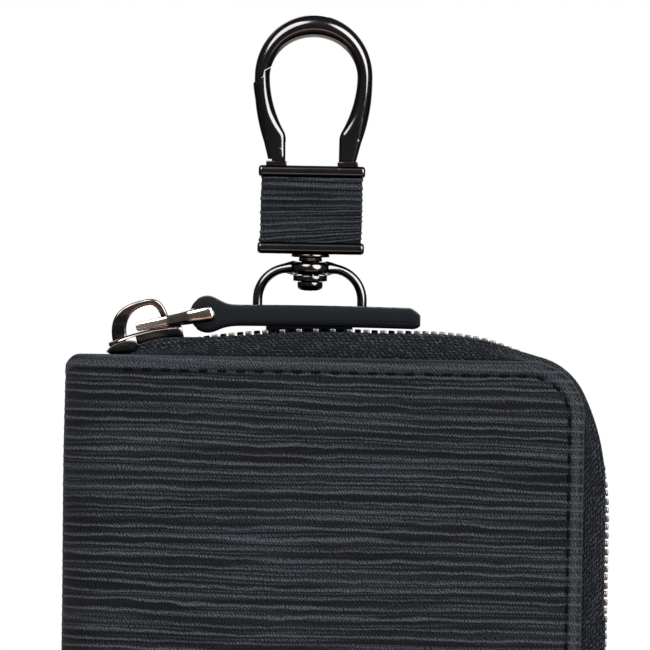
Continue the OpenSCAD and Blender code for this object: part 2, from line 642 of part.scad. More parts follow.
module slider_bridge() color(gunmetal) on_chain(slider_s) along_y(bridge_w)
    polygon(concat(bridge_outer, bridge_inner));

// Pull link: a tapered plate with an eye round the bridge and a slot whose end bar carries the leather
eye_bar = 1;            // width of the bar inside the arch
link_z = plate_z + 1.6 * eye_bar;
link_x = -eye_bar;      // place of the eye's bar along the slider
link_thin = 0.8;
link_thick = 2.3;
link_arm = 0.85;
link_bar_r = 0.8;
link_eye_half = bridge_w / 2 + move_gap;
link_slot_half = pull_w / 2 + move_gap * 0.7;
pull_hole_r = link_bar_r + 2 * face_gap;
pull_loop_r = pull_hole_r + pull_ply + face_gap;
link_end = link_x + link_l;
link_eye_end = link_x + eye_bar * 5.6;
link_slot_x = link_end - pull_loop_r - 2 * face_gap;
module link_plan() {
    polygon([[link_x - eye_bar / 2, -link_eye_half - link_arm], [link_eye_end - eye_bar, -link_eye_half - link_arm],
        [link_slot_x, -link_slot_half - link_arm], [link_end + link_bar_r, -link_slot_half - link_arm],
        [link_end + link_bar_r, link_slot_half + link_arm], [link_slot_x, link_slot_half + link_arm],
        [link_eye_end - eye_bar, link_eye_half + link_arm], [link_x - eye_bar / 2, link_eye_half + link_arm]]);
}
module link_side() {
    polygon([[link_x, -link_thin / 2], [link_end, -link_thick / 2],
        [link_end + link_bar_r, -link_thick * 0.35], [link_end + link_bar_r, link_thick * 0.35],
        [link_end, link_thick / 2], [link_x, link_thin / 2]]);
    translate([link_x, 0]) circle(link_thin / 2);
}
module pull_link() color(gunmetal) on_chain(slider_s) translate([0, 0, link_z]) {
    difference() {
        intersection() {
            translate([0, 0, -link_thick]) linear_extrude(2 * link_thick) link_plan();
            along_y(3 * link_slot_half) link_side();
        }
        translate([link_x + eye_bar / 2, -link_eye_half, -link_thick])
            cube([link_eye_end - link_x - eye_bar / 2, 2 * link_eye_half, 2 * link_thick]);
        translate([link_slot_x, -link_slot_half, -link_thick])
            cube([link_end + cut - link_slot_x, 2 * link_slot_half, 2 * link_thick]);
    }
    translate([link_end, 0, 0]) along_y(2 * link_slot_half) circle(link_bar_r);
}

// Pull leather: a strap looped round the link's bar, its two plies sewn together, lying level
slider_turn = chain_at(slider_s)[2];
pull_bar = [chain_at(slider_s)[0] + link_end * cos(slider_turn) + link_z * sin(slider_turn),
    chain_at(slider_s)[1] - link_end * sin(slider_turn) + link_z * cos(slider_turn)];
pull_end_r = 1.2;       // round of the free end's corners, seen from above
module pull_leather() color(edge_paint) translate([pull_bar[0], mid_y, pull_bar[1]]) intersection() {
    along_y(pull_w) difference() {
        union() {
            circle(pull_loop_r);
            polygon([[0, -pull_loop_r], [pull_loop_r * 0.8, -pull_loop_r * 0.88], [pull_loop_r * 2, -pull_ply],
                [pull_l, -pull_ply], [pull_l, pull_ply], [pull_loop_r * 2, pull_ply],
                [pull_loop_r * 0.8, pull_loop_r * 0.88], [0, pull_loop_r]]);
        }
        circle(pull_hole_r);
    }
    translate([0, 0, -pull_l / 2]) linear_extrude(pull_l) union() {
        translate([-pull_l, -pull_w]) square([2 * pull_l - pull_end_r, 2 * pull_w]);
        translate([0, 0]) square([2 * pull_l, pull_w - 2 * pull_end_r], center = true);
        for (side = [-1, 1]) translate([pull_l - pull_end_r, side * (pull_w / 2 - pull_end_r)]) circle(pull_end_r);
    }
}

// Key rail: bent metal plate on the back lining, its lower leg punched for the key hooks
rail_y = mid_y + lining_u;          // the lining's face, where the rail lies
rail_low_z = case_top - rail_top_drop - rail_h;
rail_reach = key_w * 1.32;
hook_y = rail_y - rail_t - key_w / 2 - rail_t;
key_post_r = 1.25;
function hook_x(i) = case_shift + (i - 3.5) * hook_pitch;
module key_plate() color(gunmetal) difference() {
    union() {
        translate([case_shift, rail_y - rail_t / 2, rail_low_z + rail_h / 2]) along_y(rail_t)
            round_rect(rail_l, rail_h, rail_t);
        translate([case_shift, rail_y, rail_low_z]) linear_extrude(rail_t) {
            translate([0, -rail_reach / 2]) round_rect(rail_l, rail_reach, rail_t);
            translate([0, -rail_t]) square([rail_l, 2 * rail_t], center = true);
        }
    }
    for (i = [1:6]) translate([hook_x(i), hook_y, rail_low_z - cut])
        cylinder(r = key_post_r + run_fit, h = rail_t + 2 * cut);
    rivet_places() translate([0, rail_y, 0]) along_y(4 * rail_t) circle(rivet_hole_r);
}
rivet_head_r = 2;
rivet_dome = 0.7;
module key_plate_rivets() color(gunmetal) rivet_places() translate([0, rail_y - rail_t, 0]) rotate([90, 0, 0])
    rotate_extrude() polygon([[0, -(leather_u - lining_u) - rail_t],
        [rivet_hole_r - fix_fit, -(leather_u - lining_u) - rail_t], [rivet_hole_r - fix_fit, 0],
        for (a = [0:15:75]) [rivet_head_r * cos(a), rivet_dome * sin(a)], [0, rivet_dome]]);

// Key hook: riveted post, collar, and a frame open on its left side under the spring tongue
key_leg = key_w * 0.24;
key_inner = key_w / 2 - key_leg;
key_yoke = key_w * 0.5;
key_tip = key_w * 0.5;
key_head_r = 2.1;
key_head_h = 0.7;
key_collar_h = 0.6;
tongue_t = 0.5;
tongue_x = tongue_t / 2 + face_gap - key_inner;
yoke_z = rail_low_z - face_gap - key_collar_h;
bend_z = yoke_z - key_h + key_w / 2;
tongue_top_z = yoke_z - key_yoke + 3 * tongue_t;
module at_hook(i) translate([hook_x(i), hook_y, 0]) children();
module key_hook(i) color(gunmetal) at_hook(i) {
    translate([0, 0, rail_low_z + rail_t + face_gap]) rotate_extrude() polygon([[0, -rail_t],
        [key_post_r, -rail_t], [key_post_r, 0],
        for (a = [0:15:75]) [key_head_r * cos(a), key_head_h * sin(a)], [0, key_head_h]]);
    translate([0, 0, yoke_z]) cylinder(r = key_post_r, h = rail_t + key_collar_h + face_gap);
    translate([0, 0, yoke_z]) cylinder(r = key_head_r, h = key_collar_h);
    along_y(key_t) difference() {
        union() {
            translate([0, yoke_z - key_yoke / 2]) round_rect(key_w, key_yoke, key_leg);
            translate([-key_w / 2, yoke_z - key_yoke]) square([key_w, key_yoke / 2]);
            translate([key_inner, bend_z]) square([key_leg, yoke_z - key_yoke - bend_z]);
            translate([-key_w / 2, bend_z]) square([key_leg, key_tip]);
            translate([0, bend_z]) circle(key_w / 2);
        }
        translate([0, bend_z]) circle(key_inner);
        translate([-key_inner, bend_z]) square([2 * key_inner, yoke_z - key_yoke - bend_z]);
        translate([tongue_x - tongue_t / 2 - face_gap, yoke_z - key_yoke - cut])
            square([tongue_t + 2 * face_gap + tongue_t, cut + 3 * tongue_t + face_gap]);
    }
}
tongue_low_z = bend_z + key_tip * 0.2;
module key_tongue(i) color(gunmetal) at_hook(i)
    translate([tongue_x, 0, (tongue_low_z + tongue_top_z) / 2])
        cube([tongue_t, key_t - 2 * face_gap, tongue_top_z - tongue_low_z], center = true);
module key_hook_1() key_hook(1);
module key_hook_2() key_hook(2);
module key_hook_3() key_hook(3);
module key_hook_4() key_hook(4);
module key_hook_5() key_hook(5);
module key_hook_6() key_hook(6);
module key_tongue_1() key_tongue(1);
module key_tongue_2() key_tongue(2);
module key_tongue_3() key_tongue(3);
module key_tongue_4() key_tongue(4);
module key_tongue_5() key_tongue(5);
module key_tongue_6() key_tongue(6);

// Where a joint or a mount is measured from
echo(swing_bar = [0, 0, ring_low_z], gate_pin = [gate_pin_x, 0, gate_pin_z]);
echo(fold_back = [fold_x - spine_r * PI / 4, mid_y + half_t - spine_r * (1 - PI / 4)],
    fold_front = [fold_x - spine_r * PI / 4, mid_y - half_t + spine_r * (1 - PI / 4)]);
echo(arc_centre = arc_centre, chain_top_r = chain_top_r, slider_turn = slider_turn, top_turn = top_turn);
echo(link_pivot = [chain_at(slider_s)[0] + link_x * cos(slider_turn) + link_z * sin(slider_turn),
    chain_at(slider_s)[1] - link_x * sin(slider_turn) + link_z * cos(slider_turn)], pull_bar = pull_bar);
echo(hook_x = [for (i = [1:6]) hook_x(i)], hook_y = hook_y, tongue_x = tongue_x, tongue_top_z = tongue_top_z,
    key_seat_z = bend_z - key_inner, mid_y = mid_y, case_mid_z = case_mid_z);

hook_bow();
hook_gate();
gate_pin();
gate_spring();
hook_frame();
wrap_leather();
swivel_post();
swivel_washer();
d_ring();
hanger_tab();
back_cover();
back_board();
back_lining();
spine_cover();
spine_lining();
front_cover();
front_board();
front_lining();
card_pocket();
zip_tape_front();
zip_tape_back();
zip_teeth_front();
zip_teeth_back();
zip_ends_front();
zip_ends_back();
slider_body();
slider_bridge();
pull_link();
pull_leather();
key_plate();
key_plate_rivets();
key_hook_1();
key_hook_2();
key_hook_3();
key_hook_4();
key_hook_5();
key_hook_6();
key_tongue_1();
key_tongue_2();
key_tongue_3();
key_tongue_4();
key_tongue_5();
key_tongue_6();
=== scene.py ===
import math
import bmesh
import bpy
import numpy as np
from mathutils import Matrix, Vector


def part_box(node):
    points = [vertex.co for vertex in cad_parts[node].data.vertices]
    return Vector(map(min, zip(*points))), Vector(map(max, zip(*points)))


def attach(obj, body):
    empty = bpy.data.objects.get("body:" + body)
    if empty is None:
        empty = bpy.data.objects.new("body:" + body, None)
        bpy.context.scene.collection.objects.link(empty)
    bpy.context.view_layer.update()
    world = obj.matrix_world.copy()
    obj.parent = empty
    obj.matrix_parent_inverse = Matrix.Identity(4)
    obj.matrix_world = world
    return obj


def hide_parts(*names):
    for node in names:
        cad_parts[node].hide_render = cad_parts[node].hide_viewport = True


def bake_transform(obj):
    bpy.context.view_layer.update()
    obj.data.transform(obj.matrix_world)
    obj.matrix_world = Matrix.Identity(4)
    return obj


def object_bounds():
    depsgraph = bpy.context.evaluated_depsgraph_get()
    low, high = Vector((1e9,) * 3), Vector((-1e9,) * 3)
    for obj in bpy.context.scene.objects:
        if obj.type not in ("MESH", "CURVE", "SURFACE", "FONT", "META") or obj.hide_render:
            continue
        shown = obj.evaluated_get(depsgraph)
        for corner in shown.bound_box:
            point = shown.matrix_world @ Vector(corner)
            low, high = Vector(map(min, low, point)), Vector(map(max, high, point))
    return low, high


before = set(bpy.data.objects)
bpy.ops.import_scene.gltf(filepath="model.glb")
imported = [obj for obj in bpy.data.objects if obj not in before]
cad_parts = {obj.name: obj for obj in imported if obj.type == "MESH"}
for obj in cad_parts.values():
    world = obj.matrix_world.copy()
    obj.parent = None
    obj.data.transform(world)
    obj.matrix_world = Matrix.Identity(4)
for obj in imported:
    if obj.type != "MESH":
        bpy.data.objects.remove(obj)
cad_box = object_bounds()
mm = 0.001

# Camera.
# The case hangs straight in front of the lens, seen square from the front and from far off, so that the
# hook and the cover show at one scale. The camera leans a little, because the case hangs a little askew.
view_width = 97.5 * mm
view_distance = 3.0
view_middle = Vector((2.35 * mm, 0, -43.1 * mm))
view_lean = math.radians(-1.0)
lens = bpy.data.cameras.new("view")
lens.sensor_width = 36
lens.lens = lens.sensor_width / 2 / (view_width / 2 / view_distance)
lens.clip_start, lens.clip_end = 0.05, 60
camera = bpy.data.objects.new("camera", lens)
bpy.context.scene.collection.objects.link(camera)
camera.rotation_euler = (math.pi / 2, view_lean, 0)
camera.location = view_middle - Vector((0, view_distance, 0))
bpy.context.scene.camera = camera
bpy.context.scene.view_settings.view_transform = "Standard"


# Studio.
# Recipes for surfaces are written as sums on sockets: Value is one socket, Recipe makes every other node.
class Value:
    def __init__(self, recipe, socket):
        self.recipe, self.socket = recipe, socket

    def step(self, operation, *others):
        return self.recipe.add("ShaderNodeMath", {"operation": operation}, dict(enumerate((self,) + others)))

    def __add__(self, other):
        return self.step("ADD", other)

    __radd__ = __add__

    def __mul__(self, other):
        return self.step("MULTIPLY", other)

    def __sub__(self, other):
        return self.step("SUBTRACT", other)

    def __rsub__(self, other):
        return self.step("MULTIPLY_ADD", -1, other)

    def __pow__(self, other):
        return self.step("POWER", other)

    def between(self, low, high):
        """0 below low, 1 above high, smooth in the middle"""
        return self.recipe.add("ShaderNodeMapRange", {"interpolation_type": "SMOOTHSTEP"},
                               {"Value": self, "From Min": low, "From Max": high})


class Recipe:
    def __init__(self, tree):
        self.tree = tree

    def add(self, kind, settings=None, inputs=None, out=0):
        node = self.tree.nodes.new(kind)
        for key, value in (settings or {}).items():
            setattr(node, key, value)
        for key, value in (inputs or {}).items():
            if isinstance(value, Value):
                self.tree.links.new(value.socket, node.inputs[key])
            else:
                node.inputs[key].default_value = value
        return Value(self, node.outputs[out])

    def blend(self, share, first, second):
        return self.add("ShaderNodeMix", {"data_type": "RGBA"}, {0: share, 6: first, 7: second}, out=2)

    def split(self, vector):
        node = self.tree.nodes.new("ShaderNodeSeparateXYZ")
        self.tree.links.new(vector.socket, node.inputs[0])
        return [Value(self, s) for s in node.outputs]

    def join(self, x, y, z=0.0):
        return self.add("ShaderNodeCombineXYZ", {}, {0: x, 1: y, 2: z})

    def noise(self, place, scale, detail=2.0, roughness=0.5):
        return self.add("ShaderNodeTexNoise", {},
                        {"Vector": place, "Scale": scale, "Detail": detail, "Roughness": roughness})

    def own_place(self):
        """Place on the piece itself, which moves with it"""
        return self.add("ShaderNodeTexCoord", out=3)

    def sheet_place(self):
        """Place on the flat sheet that the piece is made of, in millimetres"""
        return self.add("ShaderNodeAttribute", {"attribute_name": "sheet"}, out=1)

    def bump(self, height, strength, millimetres):
        return self.add("ShaderNodeBump", {}, {"Height": height, "Strength": strength,
                                               "Distance": millimetres * mm})


def tint(r, g, b):
    return (r, g, b, 1.0)


def surface(name, build, **fixed):
    """A material: build(recipe) returns what varies, fixed gives what is the same all over"""
    made = bpy.data.materials.new(name)
    made.use_nodes = True
    recipe = Recipe(made.node_tree)
    shader = made.node_tree.nodes["Principled BSDF"]
    for key, value in fixed.items():
        shader.inputs[key.replace("_", " ")].default_value = value
    for key, value in build(recipe).items():
        made.node_tree.links.new(value.socket, shader.inputs[key])
    return made


def white_to_lens(recipe, shader, level):
    """Shows a surface or the world as plain white to the camera and to mirrors, and as it is to the rest"""
    tree = recipe.tree
    path = tree.nodes.new("ShaderNodeLightPath")
    camera_ray, glossy_ray, clear_ray = [Value(recipe, path.outputs["Is %s Ray" % kind])
                                         for kind in ("Camera", "Glossy", "Transmission")]
    seen = camera_ray.step("MAXIMUM", glossy_ray).step("MAXIMUM", clear_ray)
    mix = tree.nodes.new("ShaderNodeMixShader")
    tree.links.new(seen.socket, mix.inputs[0])
    tree.links.new(shader, mix.inputs[1])
    tree.links.new(level, mix.inputs[2])
    return mix.outputs[0]


world = bpy.data.worlds.new("studio")
bpy.context.scene.world = world
world.use_nodes = True
tree = world.node_tree
soft, bright = tree.nodes["Background"], tree.nodes.new("ShaderNodeBackground")
for sky, strength in ((soft, 0.5), (bright, 1.0)):
    sky.inputs["Color"].default_value = tint(1.0, 1.0, 1.0)
    sky.inputs["Strength"].default_value = strength
tree.links.new(white_to_lens(Recipe(tree), soft.outputs[0], bright.outputs[0]),
               tree.nodes["World Output"].inputs["Surface"])
polished = bpy.data.collections.new("polished")     # the parts that show the gloss-only lamps


def lamp(name, place, aim, width, height, power, glow=(1.0, 1.0, 1.0), gloss_only=False):
    light = bpy.data.lights.new(name, "AREA")
    light.shape, light.size, light.size_y, light.energy = "RECTANGLE", width, height, power
    light.color = glow
    held = bpy.data.objects.new(name, light)
    bpy.context.scene.collection.objects.link(held)
    held.location = place
    held.rotation_euler = (Vector(aim) - Vector(place)).to_track_quat("-Z", "Y").to_euler()
    held.visible_camera = False
    if gloss_only:
        held.visible_diffuse = False
        held.light_linking.receiver_collection = polished
    return held


case_aim = (0.0, -0.01, -0.05)
softbox_reach, softbox_tilt = 1.25, math.radians(46)
lamp("window", (-0.35, -0.95, 1.15), case_aim, 0.8, 0.5, 7.0)
lamp("fill", (0.9, -1.0, 0.5), case_aim, 0.8, 0.8, 3.0)
lamp("back_fill", (0.3, 1.1, 0.7), case_aim, 0.8, 0.8, 6.0)
# Panels that only show as streaks in polished metal, each with its width laid round the view's middle
for name, around, width, deep, power in (("softbox_left", 124, 0.90, 1.05, 190.0),
                                         ("softbox_right", 34, 1.30, 1.15, 320.0)):
    turn, tilt = math.radians(around), softbox_tilt
    outward = Vector((math.sin(tilt) * math.cos(turn), -math.cos(tilt), math.sin(tilt) * math.sin(turn)))
    along = Vector((-math.sin(turn), 0, math.cos(turn)))
    held = lamp(name, outward * softbox_reach, (0, 0, 0), width, deep, power, gloss_only=True)
    held.rotation_euler = Matrix((along, outward.cross(along), outward)).transposed().to_euler()
    held.data.shape = "ELLIPSE"
lamp("streak_low", (0.05, -0.30, -0.160), (0, 0, -0.02), 0.45, 0.09, 1.6, (1.0, 0.70, 0.50), gloss_only=True)
lamp("streak_under", (0, 0.10, -0.135), (0, 0, -0.008), 0.30, 0.18, 3.6, (1.0, 0.92, 0.84), gloss_only=True)
lamp("streak_behind", (-0.3, 0.8, 0.5), case_aim, 0.9, 0.3, 14.0, gloss_only=True)

floor_drop = 22 * mm
floor_mesh = bpy.data.meshes.new("floor")
reach, ground = 2.4, cad_box[0].z - floor_drop
floor_mesh.from_pydata([(-reach, -reach, ground), (reach, -reach, ground), (reach, reach, ground),
                        (-reach, reach, ground)], [], [(0, 1, 2, 3)])
floor = bpy.data.objects.new("floor", floor_mesh)
bpy.context.scene.collection.objects.link(floor)


def pale_floor(r):
    spots = r.noise(r.own_place(), 9.0, 3.0)
    return {"Base Color": r.blend(spots, tint(0.86, 0.86, 0.86), tint(0.9, 0.9, 0.9))}


floor_mesh.materials.append(surface("pale_floor", pale_floor, Roughness=0.8))

# Hook bow and gate.
# The bow is cast zinc, polished and plated in black nickel. Its left arm is the gate: it meets the bow on
# a stepped line, stands a hair proud of it, and turns inwards on a pin through its foot.
bow_r, bow_depth = 7.7, 4.0
bow_top_t, bow_side_t, bow_heel_t, bow_foot_t = 3.4, 2.3, 3.4, 2.6
bow_middle_z = bow_top_t / 2 - bow_r
lean_r, lean_turn, heel_r = 22.0, math.radians(24), 1.3
foot_z = -18.65
lean_x = bow_r - lean_r + lean_r * math.cos(lean_turn)
lean_z = bow_middle_z - lean_r * math.sin(lean_turn)


def arm_line():
    """Stations of the right arm from the bow's top to its foot: x, z, turn, thickness"""
    line = []
    for a in np.linspace(math.pi / 2, 0, 41):
        line.append((bow_r * math.cos(a), bow_middle_z + bow_r * math.sin(a), a,
                     bow_side_t + (bow_top_t - bow_side_t) * math.sin(a) ** 2))
    for a in np.linspace(0, lean_turn, 27)[1:]:
        line.append((bow_r - lean_r + lean_r * math.cos(a), bow_middle_z - lean_r * math.sin(a), -a,
                     bow_side_t + (bow_heel_t - bow_side_t) * (a / lean_turn) ** 1.5))
    for a in np.linspace(lean_turn, 0, 9)[1:]:
        line.append((lean_x - heel_r * (math.cos(a) - math.cos(lean_turn)),
                     lean_z - heel_r * (math.sin(lean_turn) - math.sin(a)), -a, bow_heel_t))
    end_x, end_z = line[-1][0], line[-1][1]
    for s in np.linspace(0, 1, 9)[1:]:
        line.append((end_x - 0.42 * s, end_z + (foot_z - end_z) * s, 0.0,
                     bow_heel_t + (bow_foot_t - bow_heel_t) * s))
    return line


def squared(a, wide, high):
    """A point of a unit circle whose sides are flattened by powers below 1"""
    return (math.copysign(abs(math.cos(a)) ** wide, math.cos(a)),
            math.copysign(abs(math.sin(a)) ** high, math.sin(a)))


def turns(count):
    """Even turns round a circle"""
    return np.linspace(0, 2 * math.pi, count, endpoint=False)


def bow_ring(station, side):
    """Section of an arm: oval, and more of a box from box_start down to the foot"""
    x, z, turn, thick = station
    box_start, box_run = -11.5, 3.5
    box = min(1.0, max(0.0, (box_start - z) / box_run))
    ring = []
    for a in turns(40):
        ca, sa = squared(a, 0.9 - 0.45 * box, 0.86 - 0.45 * box)
        out = thick / 2 * ca
        ring.append((side * (x + out * math.cos(turn)), bow_depth / 2 * sa, z + out * math.sin(turn)))
    return ring


def tube_of(name, rings, materials, body=None, smooth=True):
    """A closed tube through rings of points, with flat ends"""
    sides = len(rings[0])
    points = [p for ring in rings for p in ring]
    faces = []
    for k in range(len(rings) - 1):
        for i in range(sides):
            j = (i + 1) % sides
            a, b = k * sides, (k + 1) * sides
            faces.append((a + i, a + j, b + j, b + i))
    faces.append(tuple(range(sides))[::-1])
    last = (len(rings) - 1) * sides
    faces.append(tuple(range(last, last + sides)))
    return piece_of(name, points, faces, materials, body, smooth)


def piece_of(name, points, faces, materials, body=None, smooth=True):
    """A mesh object from points in millimetres, its faces turned outwards"""
    mesh = bpy.data.meshes.new(name)
    mesh.from_pydata([tuple(float(c) * mm for c in p) for p in points], [], faces)
    work = bmesh.new()
    work.from_mesh(mesh)
    bmesh.ops.recalc_face_normals(work, faces=work.faces)
    work.to_mesh(mesh)
    work.free()
    for m in materials:
        mesh.materials.append(m)
    if smooth:
        mesh.shade_smooth()
        mesh.set_sharp_from_angle(angle=math.radians(40))
    made = bpy.data.objects.new(name, mesh)
    bpy.context.scene.collection.objects.link(made)
    if body:
        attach(made, body)
    return made


def geometry_group(name):
    """An empty group of geometry nodes, its recipe, its input node and its output node"""
    group = bpy.data.node_groups.new(name, "GeometryNodeTree")
    for way in ("INPUT", "OUTPUT"):
        group.interface.new_socket("Geometry", in_out=way, socket_type="NodeSocketGeometry")
    return group, Recipe(group), group.nodes.new("NodeGroupInput"), group.nodes.new("NodeGroupOutput")


def smoothed(name, angle):
    """A node group that shades smooth over edges flatter than the angle and sharp over the others"""
    group, r, start, end = geometry_group(name)
    plain = r.add("GeometryNodeRemoveAttribute", {}, {0: Value(r, start.outputs[0]), "Name": "custom_normal"})
    faces = r.add("GeometryNodeSetShadeSmooth", {"domain": "FACE"}, {0: plain, "Shade Smooth": True})
    flat = r.add("GeometryNodeInputMeshEdgeAngle").step("LESS_THAN", math.radians(angle))
    edges = r.add("GeometryNodeSetShadeSmooth", {"domain": "EDGE"}, {0: faces, "Shade Smooth": flat})
    group.links.new(edges.socket, end.inputs[0])
    return group


smooth_edges = smoothed("smooth_edges", 38)


def finished(part, material, round_mm=0.12, segments=2, angle=30, planar=True, streaks=True):
    """Rounds the edges of a part by modifiers and gives it its material; its own mesh stays as it is"""
    part.modifiers.new("weld", "WELD").merge_threshold = 0.001 * mm
    if planar:
        flat = part.modifiers.new("flat", "DECIMATE")
        flat.decimate_type, flat.angle_limit = "DISSOLVE", math.radians(0.5)
    if round_mm:
        edge = part.modifiers.new("edges", "BEVEL")
        edge.width, edge.segments = round_mm * mm, segments
        edge.limit_method, edge.angle_limit = "ANGLE", math.radians(angle)
    part.modifiers.new("smooth", "NODES").node_group = smooth_edges
    if planar:
        faces = part.modifiers.new("faces", "WEIGHTED_NORMAL")
        faces.keep_sharp, faces.weight = True, 90
    for place in part.material_slots:
        place.material = material
    if streaks and material.node_tree.nodes["Principled BSDF"].inputs["Metallic"].default_value > 0.5:
        polished.objects.link(part)
    return part


def black_nickel(r):
    place = r.own_place()
    cloud = r.noise(place, 160.0, 2.0)
    rub = r.noise(place, 900.0, 4.0, 0.7)
    fine = r.noise(place, 5200.0, 2.0)
    worn = rub.between(0.62, 0.78)
    colour = r.blend(cloud, tint(0.0075, 0.0077, 0.0088), tint(0.014, 0.0126, 0.0122))
    return {"Base Color": r.blend(worn * 0.25, colour, tint(0.05, 0.045, 0.042)),
            "Roughness": 0.085 + cloud * 0.05 + worn * 0.10 + fine * 0.03,
            "Normal": r.bump(cloud + fine * 0.05, 0.12, 0.05)}


gunmetal = surface("black_nickel", black_nickel, Metallic=1.0, Specular_Tint=tint(0.45, 0.45, 0.45))

joint_z = bow_middle_z + bow_side_t / 4
joint_steps = [(-1.43, -1.29), (-0.43, -0.61), (0.07, -0.27), (0.15, 0.15), (0.62, 0.41), (1.22, 0.74)]


def past_joint(side):
    """A block over (1) or under (-1) the stepped line between bow and gate"""
    half_gap = 0.06
    gap = half_gap * side * math.sin(math.radians(45))
    outline = [(-bow_r + bow_side_t * x + gap, joint_z + bow_side_t * z - gap) for x, z in joint_steps]
    outline += [(-bow_r + bow_side_t * joint_steps[5][0], joint_z + side * bow_side_t * 4),
                (-bow_r + bow_side_t * joint_steps[0][0], joint_z + side * bow_side_t * 4)]
    return block_of("joint_block", outline, bow_depth)


def baked(part):
    """Makes what the modifiers give the part's own mesh"""
    part.data = bpy.data.meshes.new_from_object(part.evaluated_get(bpy.context.evaluated_depsgraph_get()))
    part.modifiers.clear()
    return part


def combined(part, blocks, operation):
    """Cuts the blocks out of the part or melts them into it, and throws them away"""
    for block in blocks:
        step = part.modifiers.new("combine", "BOOLEAN")
        step.operation, step.solver, step.object = operation, "MANIFOLD", block
    baked(part)
    for block in blocks:
        bpy.data.objects.remove(block)
    return part


def carved(part, *blocks):
    """Cuts the blocks out of the part and throws them away"""
    return combined(part, blocks, "DIFFERENCE")


def block_of(name, outline, y_half):
    """A plate with an outline in x and z, as thick as twice y_half"""
    rings = [[(x, y, z) for x, z in outline] for y in (-y_half, y_half)]
    return tube_of(name, rings, [gunmetal], smooth=False)


arm = arm_line()
bow_stations, gate_start = 58, 28       # bow and gate overlap here, and the joint's block cuts both
whole = [bow_ring(s, 1) for s in arm[::-1]] + [bow_ring(s, -1) for s in arm[1:bow_stations]]
bow = carved(tube_of("bow", whole, [gunmetal]), past_joint(-1))
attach(bow, "hook")
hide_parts("hook_bow")
finished(bow, gunmetal, 0.26, 3, 46, planar=False)

pin_x, pin_z = -5.053, -17.058
gate = tube_of("gate", [bow_ring(s, -1) for s in arm[gate_start:]], [gunmetal])
fork_half, fork_top, fork_left, sole_r = 1.4, pin_z + 1.32, pin_x - 1.32, 1.29
fork = [(fork_left, fork_top - 0.5), (fork_left + 0.5, fork_top), (-2, fork_top), (-2, -20), (fork_left, -20)]
sole = [(-9, pin_z - sole_r)]
sole += [(pin_x + sole_r * math.cos(a), pin_z + sole_r * math.sin(a)) for a in np.linspace(-math.pi / 2, 0, 9)]
sole += [(-2, pin_z), (-2, -21), (-9, -21)]
gate = carved(gate, past_joint(1), block_of("fork_block", fork, fork_half), block_of("sole_block", sole, 4))
proud_x, proud_start, proud_run = 0.2, -9.5, 2.2       # the gate's top stands this much out of the bow
for vertex in gate.data.vertices:
    proud = max(0.0, min(1.0, (vertex.co.z / mm - proud_start) / proud_run))
    vertex.co.x -= proud_x * mm * proud if vertex.co.x < -bow_r * mm else 0
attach(gate, "gate")
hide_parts("hook_gate")
finished(gate, gunmetal, 0.26, 3, 46, planar=False)
finished(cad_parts["gate_pin"], gunmetal, 0.15, 3)


def spring_wire(r):
    place = r.own_place()
    drawn = r.noise(place, 1800.0, 2.0)
    return {"Base Color": r.blend(drawn, tint(0.38, 0.37, 0.35), tint(0.5, 0.49, 0.47)),
            "Roughness": 0.25 + drawn * 0.15}


spring_steel = surface("spring_wire", spring_wire, Metallic=1.0)
finished(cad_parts["gate_spring"], spring_steel, 0, planar=False, streaks=False)

# Hook frame.
# A casting of two round-edged bars with a plate between them. The bow's foot and the gate's lug stand on
# the upper bar, and the swivel's post is riveted into the lower one. Polished and plated as the bow.
bar_l, bar_h, bar_d, bar_round, bar_end_r = 16.0, 1.8, 4.4, 0.72, 0.5
upper_bar_z, lower_bar_z = -20.15, -31.65
core_half, core_half_t = 6.65, 0.8
collar_z, collar_x, collar_l, collar_h, collar_d = -18.98, 5.35, 3.1, 0.72, 4.1
lug_r, lug_low, leaf_in, leaf_out = 1.02, -19.6, 0.87, 1.32


def round_bar(name, z, length, height, depth, r, end_r):
    """A bar along x with a rounded section and rounded ends"""
    outline = []
    for cy, cz, start in ((1, 1, 0), (-1, 1, 90), (-1, -1, 180), (1, -1, 270)):
        for a in np.radians(np.linspace(start, start + 90, 8)):
            outline.append((cy, cz, math.cos(a), math.sin(a)))
    rings = []
    ends = [(length / 2 - end_r * (1 - math.sin(a)), end_r * (1 - math.cos(a)))
            for a in np.linspace(math.pi / 2, 0, 6)]
    for x, inset in ends + [(-x, i) for x, i in ends[::-1]]:
        ring = []
        for cy, cz, ny, nz in outline:
            rr = max(r - inset * 0.5, 0.05)
            ring.append((x, cy * (depth / 2 - inset - rr) + rr * ny, z + cz * (height / 2 - inset - rr) + rr * nz))
        rings.append(ring)
    return tube_of(name, rings, [gunmetal])


def joined(part, *others):
    """Melts the others into the part, so that one casting is one skin"""
    return combined(part, others, "UNION")


def leaf_of(name, y_low, y_high):
    """One leaf of the lug that the gate turns on: a round-topped plate"""
    outline = [(pin_x + lug_r * math.cos(a), pin_z + lug_r * math.sin(a)) for a in np.linspace(0, math.pi, 17)]
    outline += [(pin_x - lug_r, lug_low), (pin_x + lug_r, lug_low)]
    return tube_of(name, [[(x, y, z) for x, z in outline] for y in (y_low, y_high)], [gunmetal])


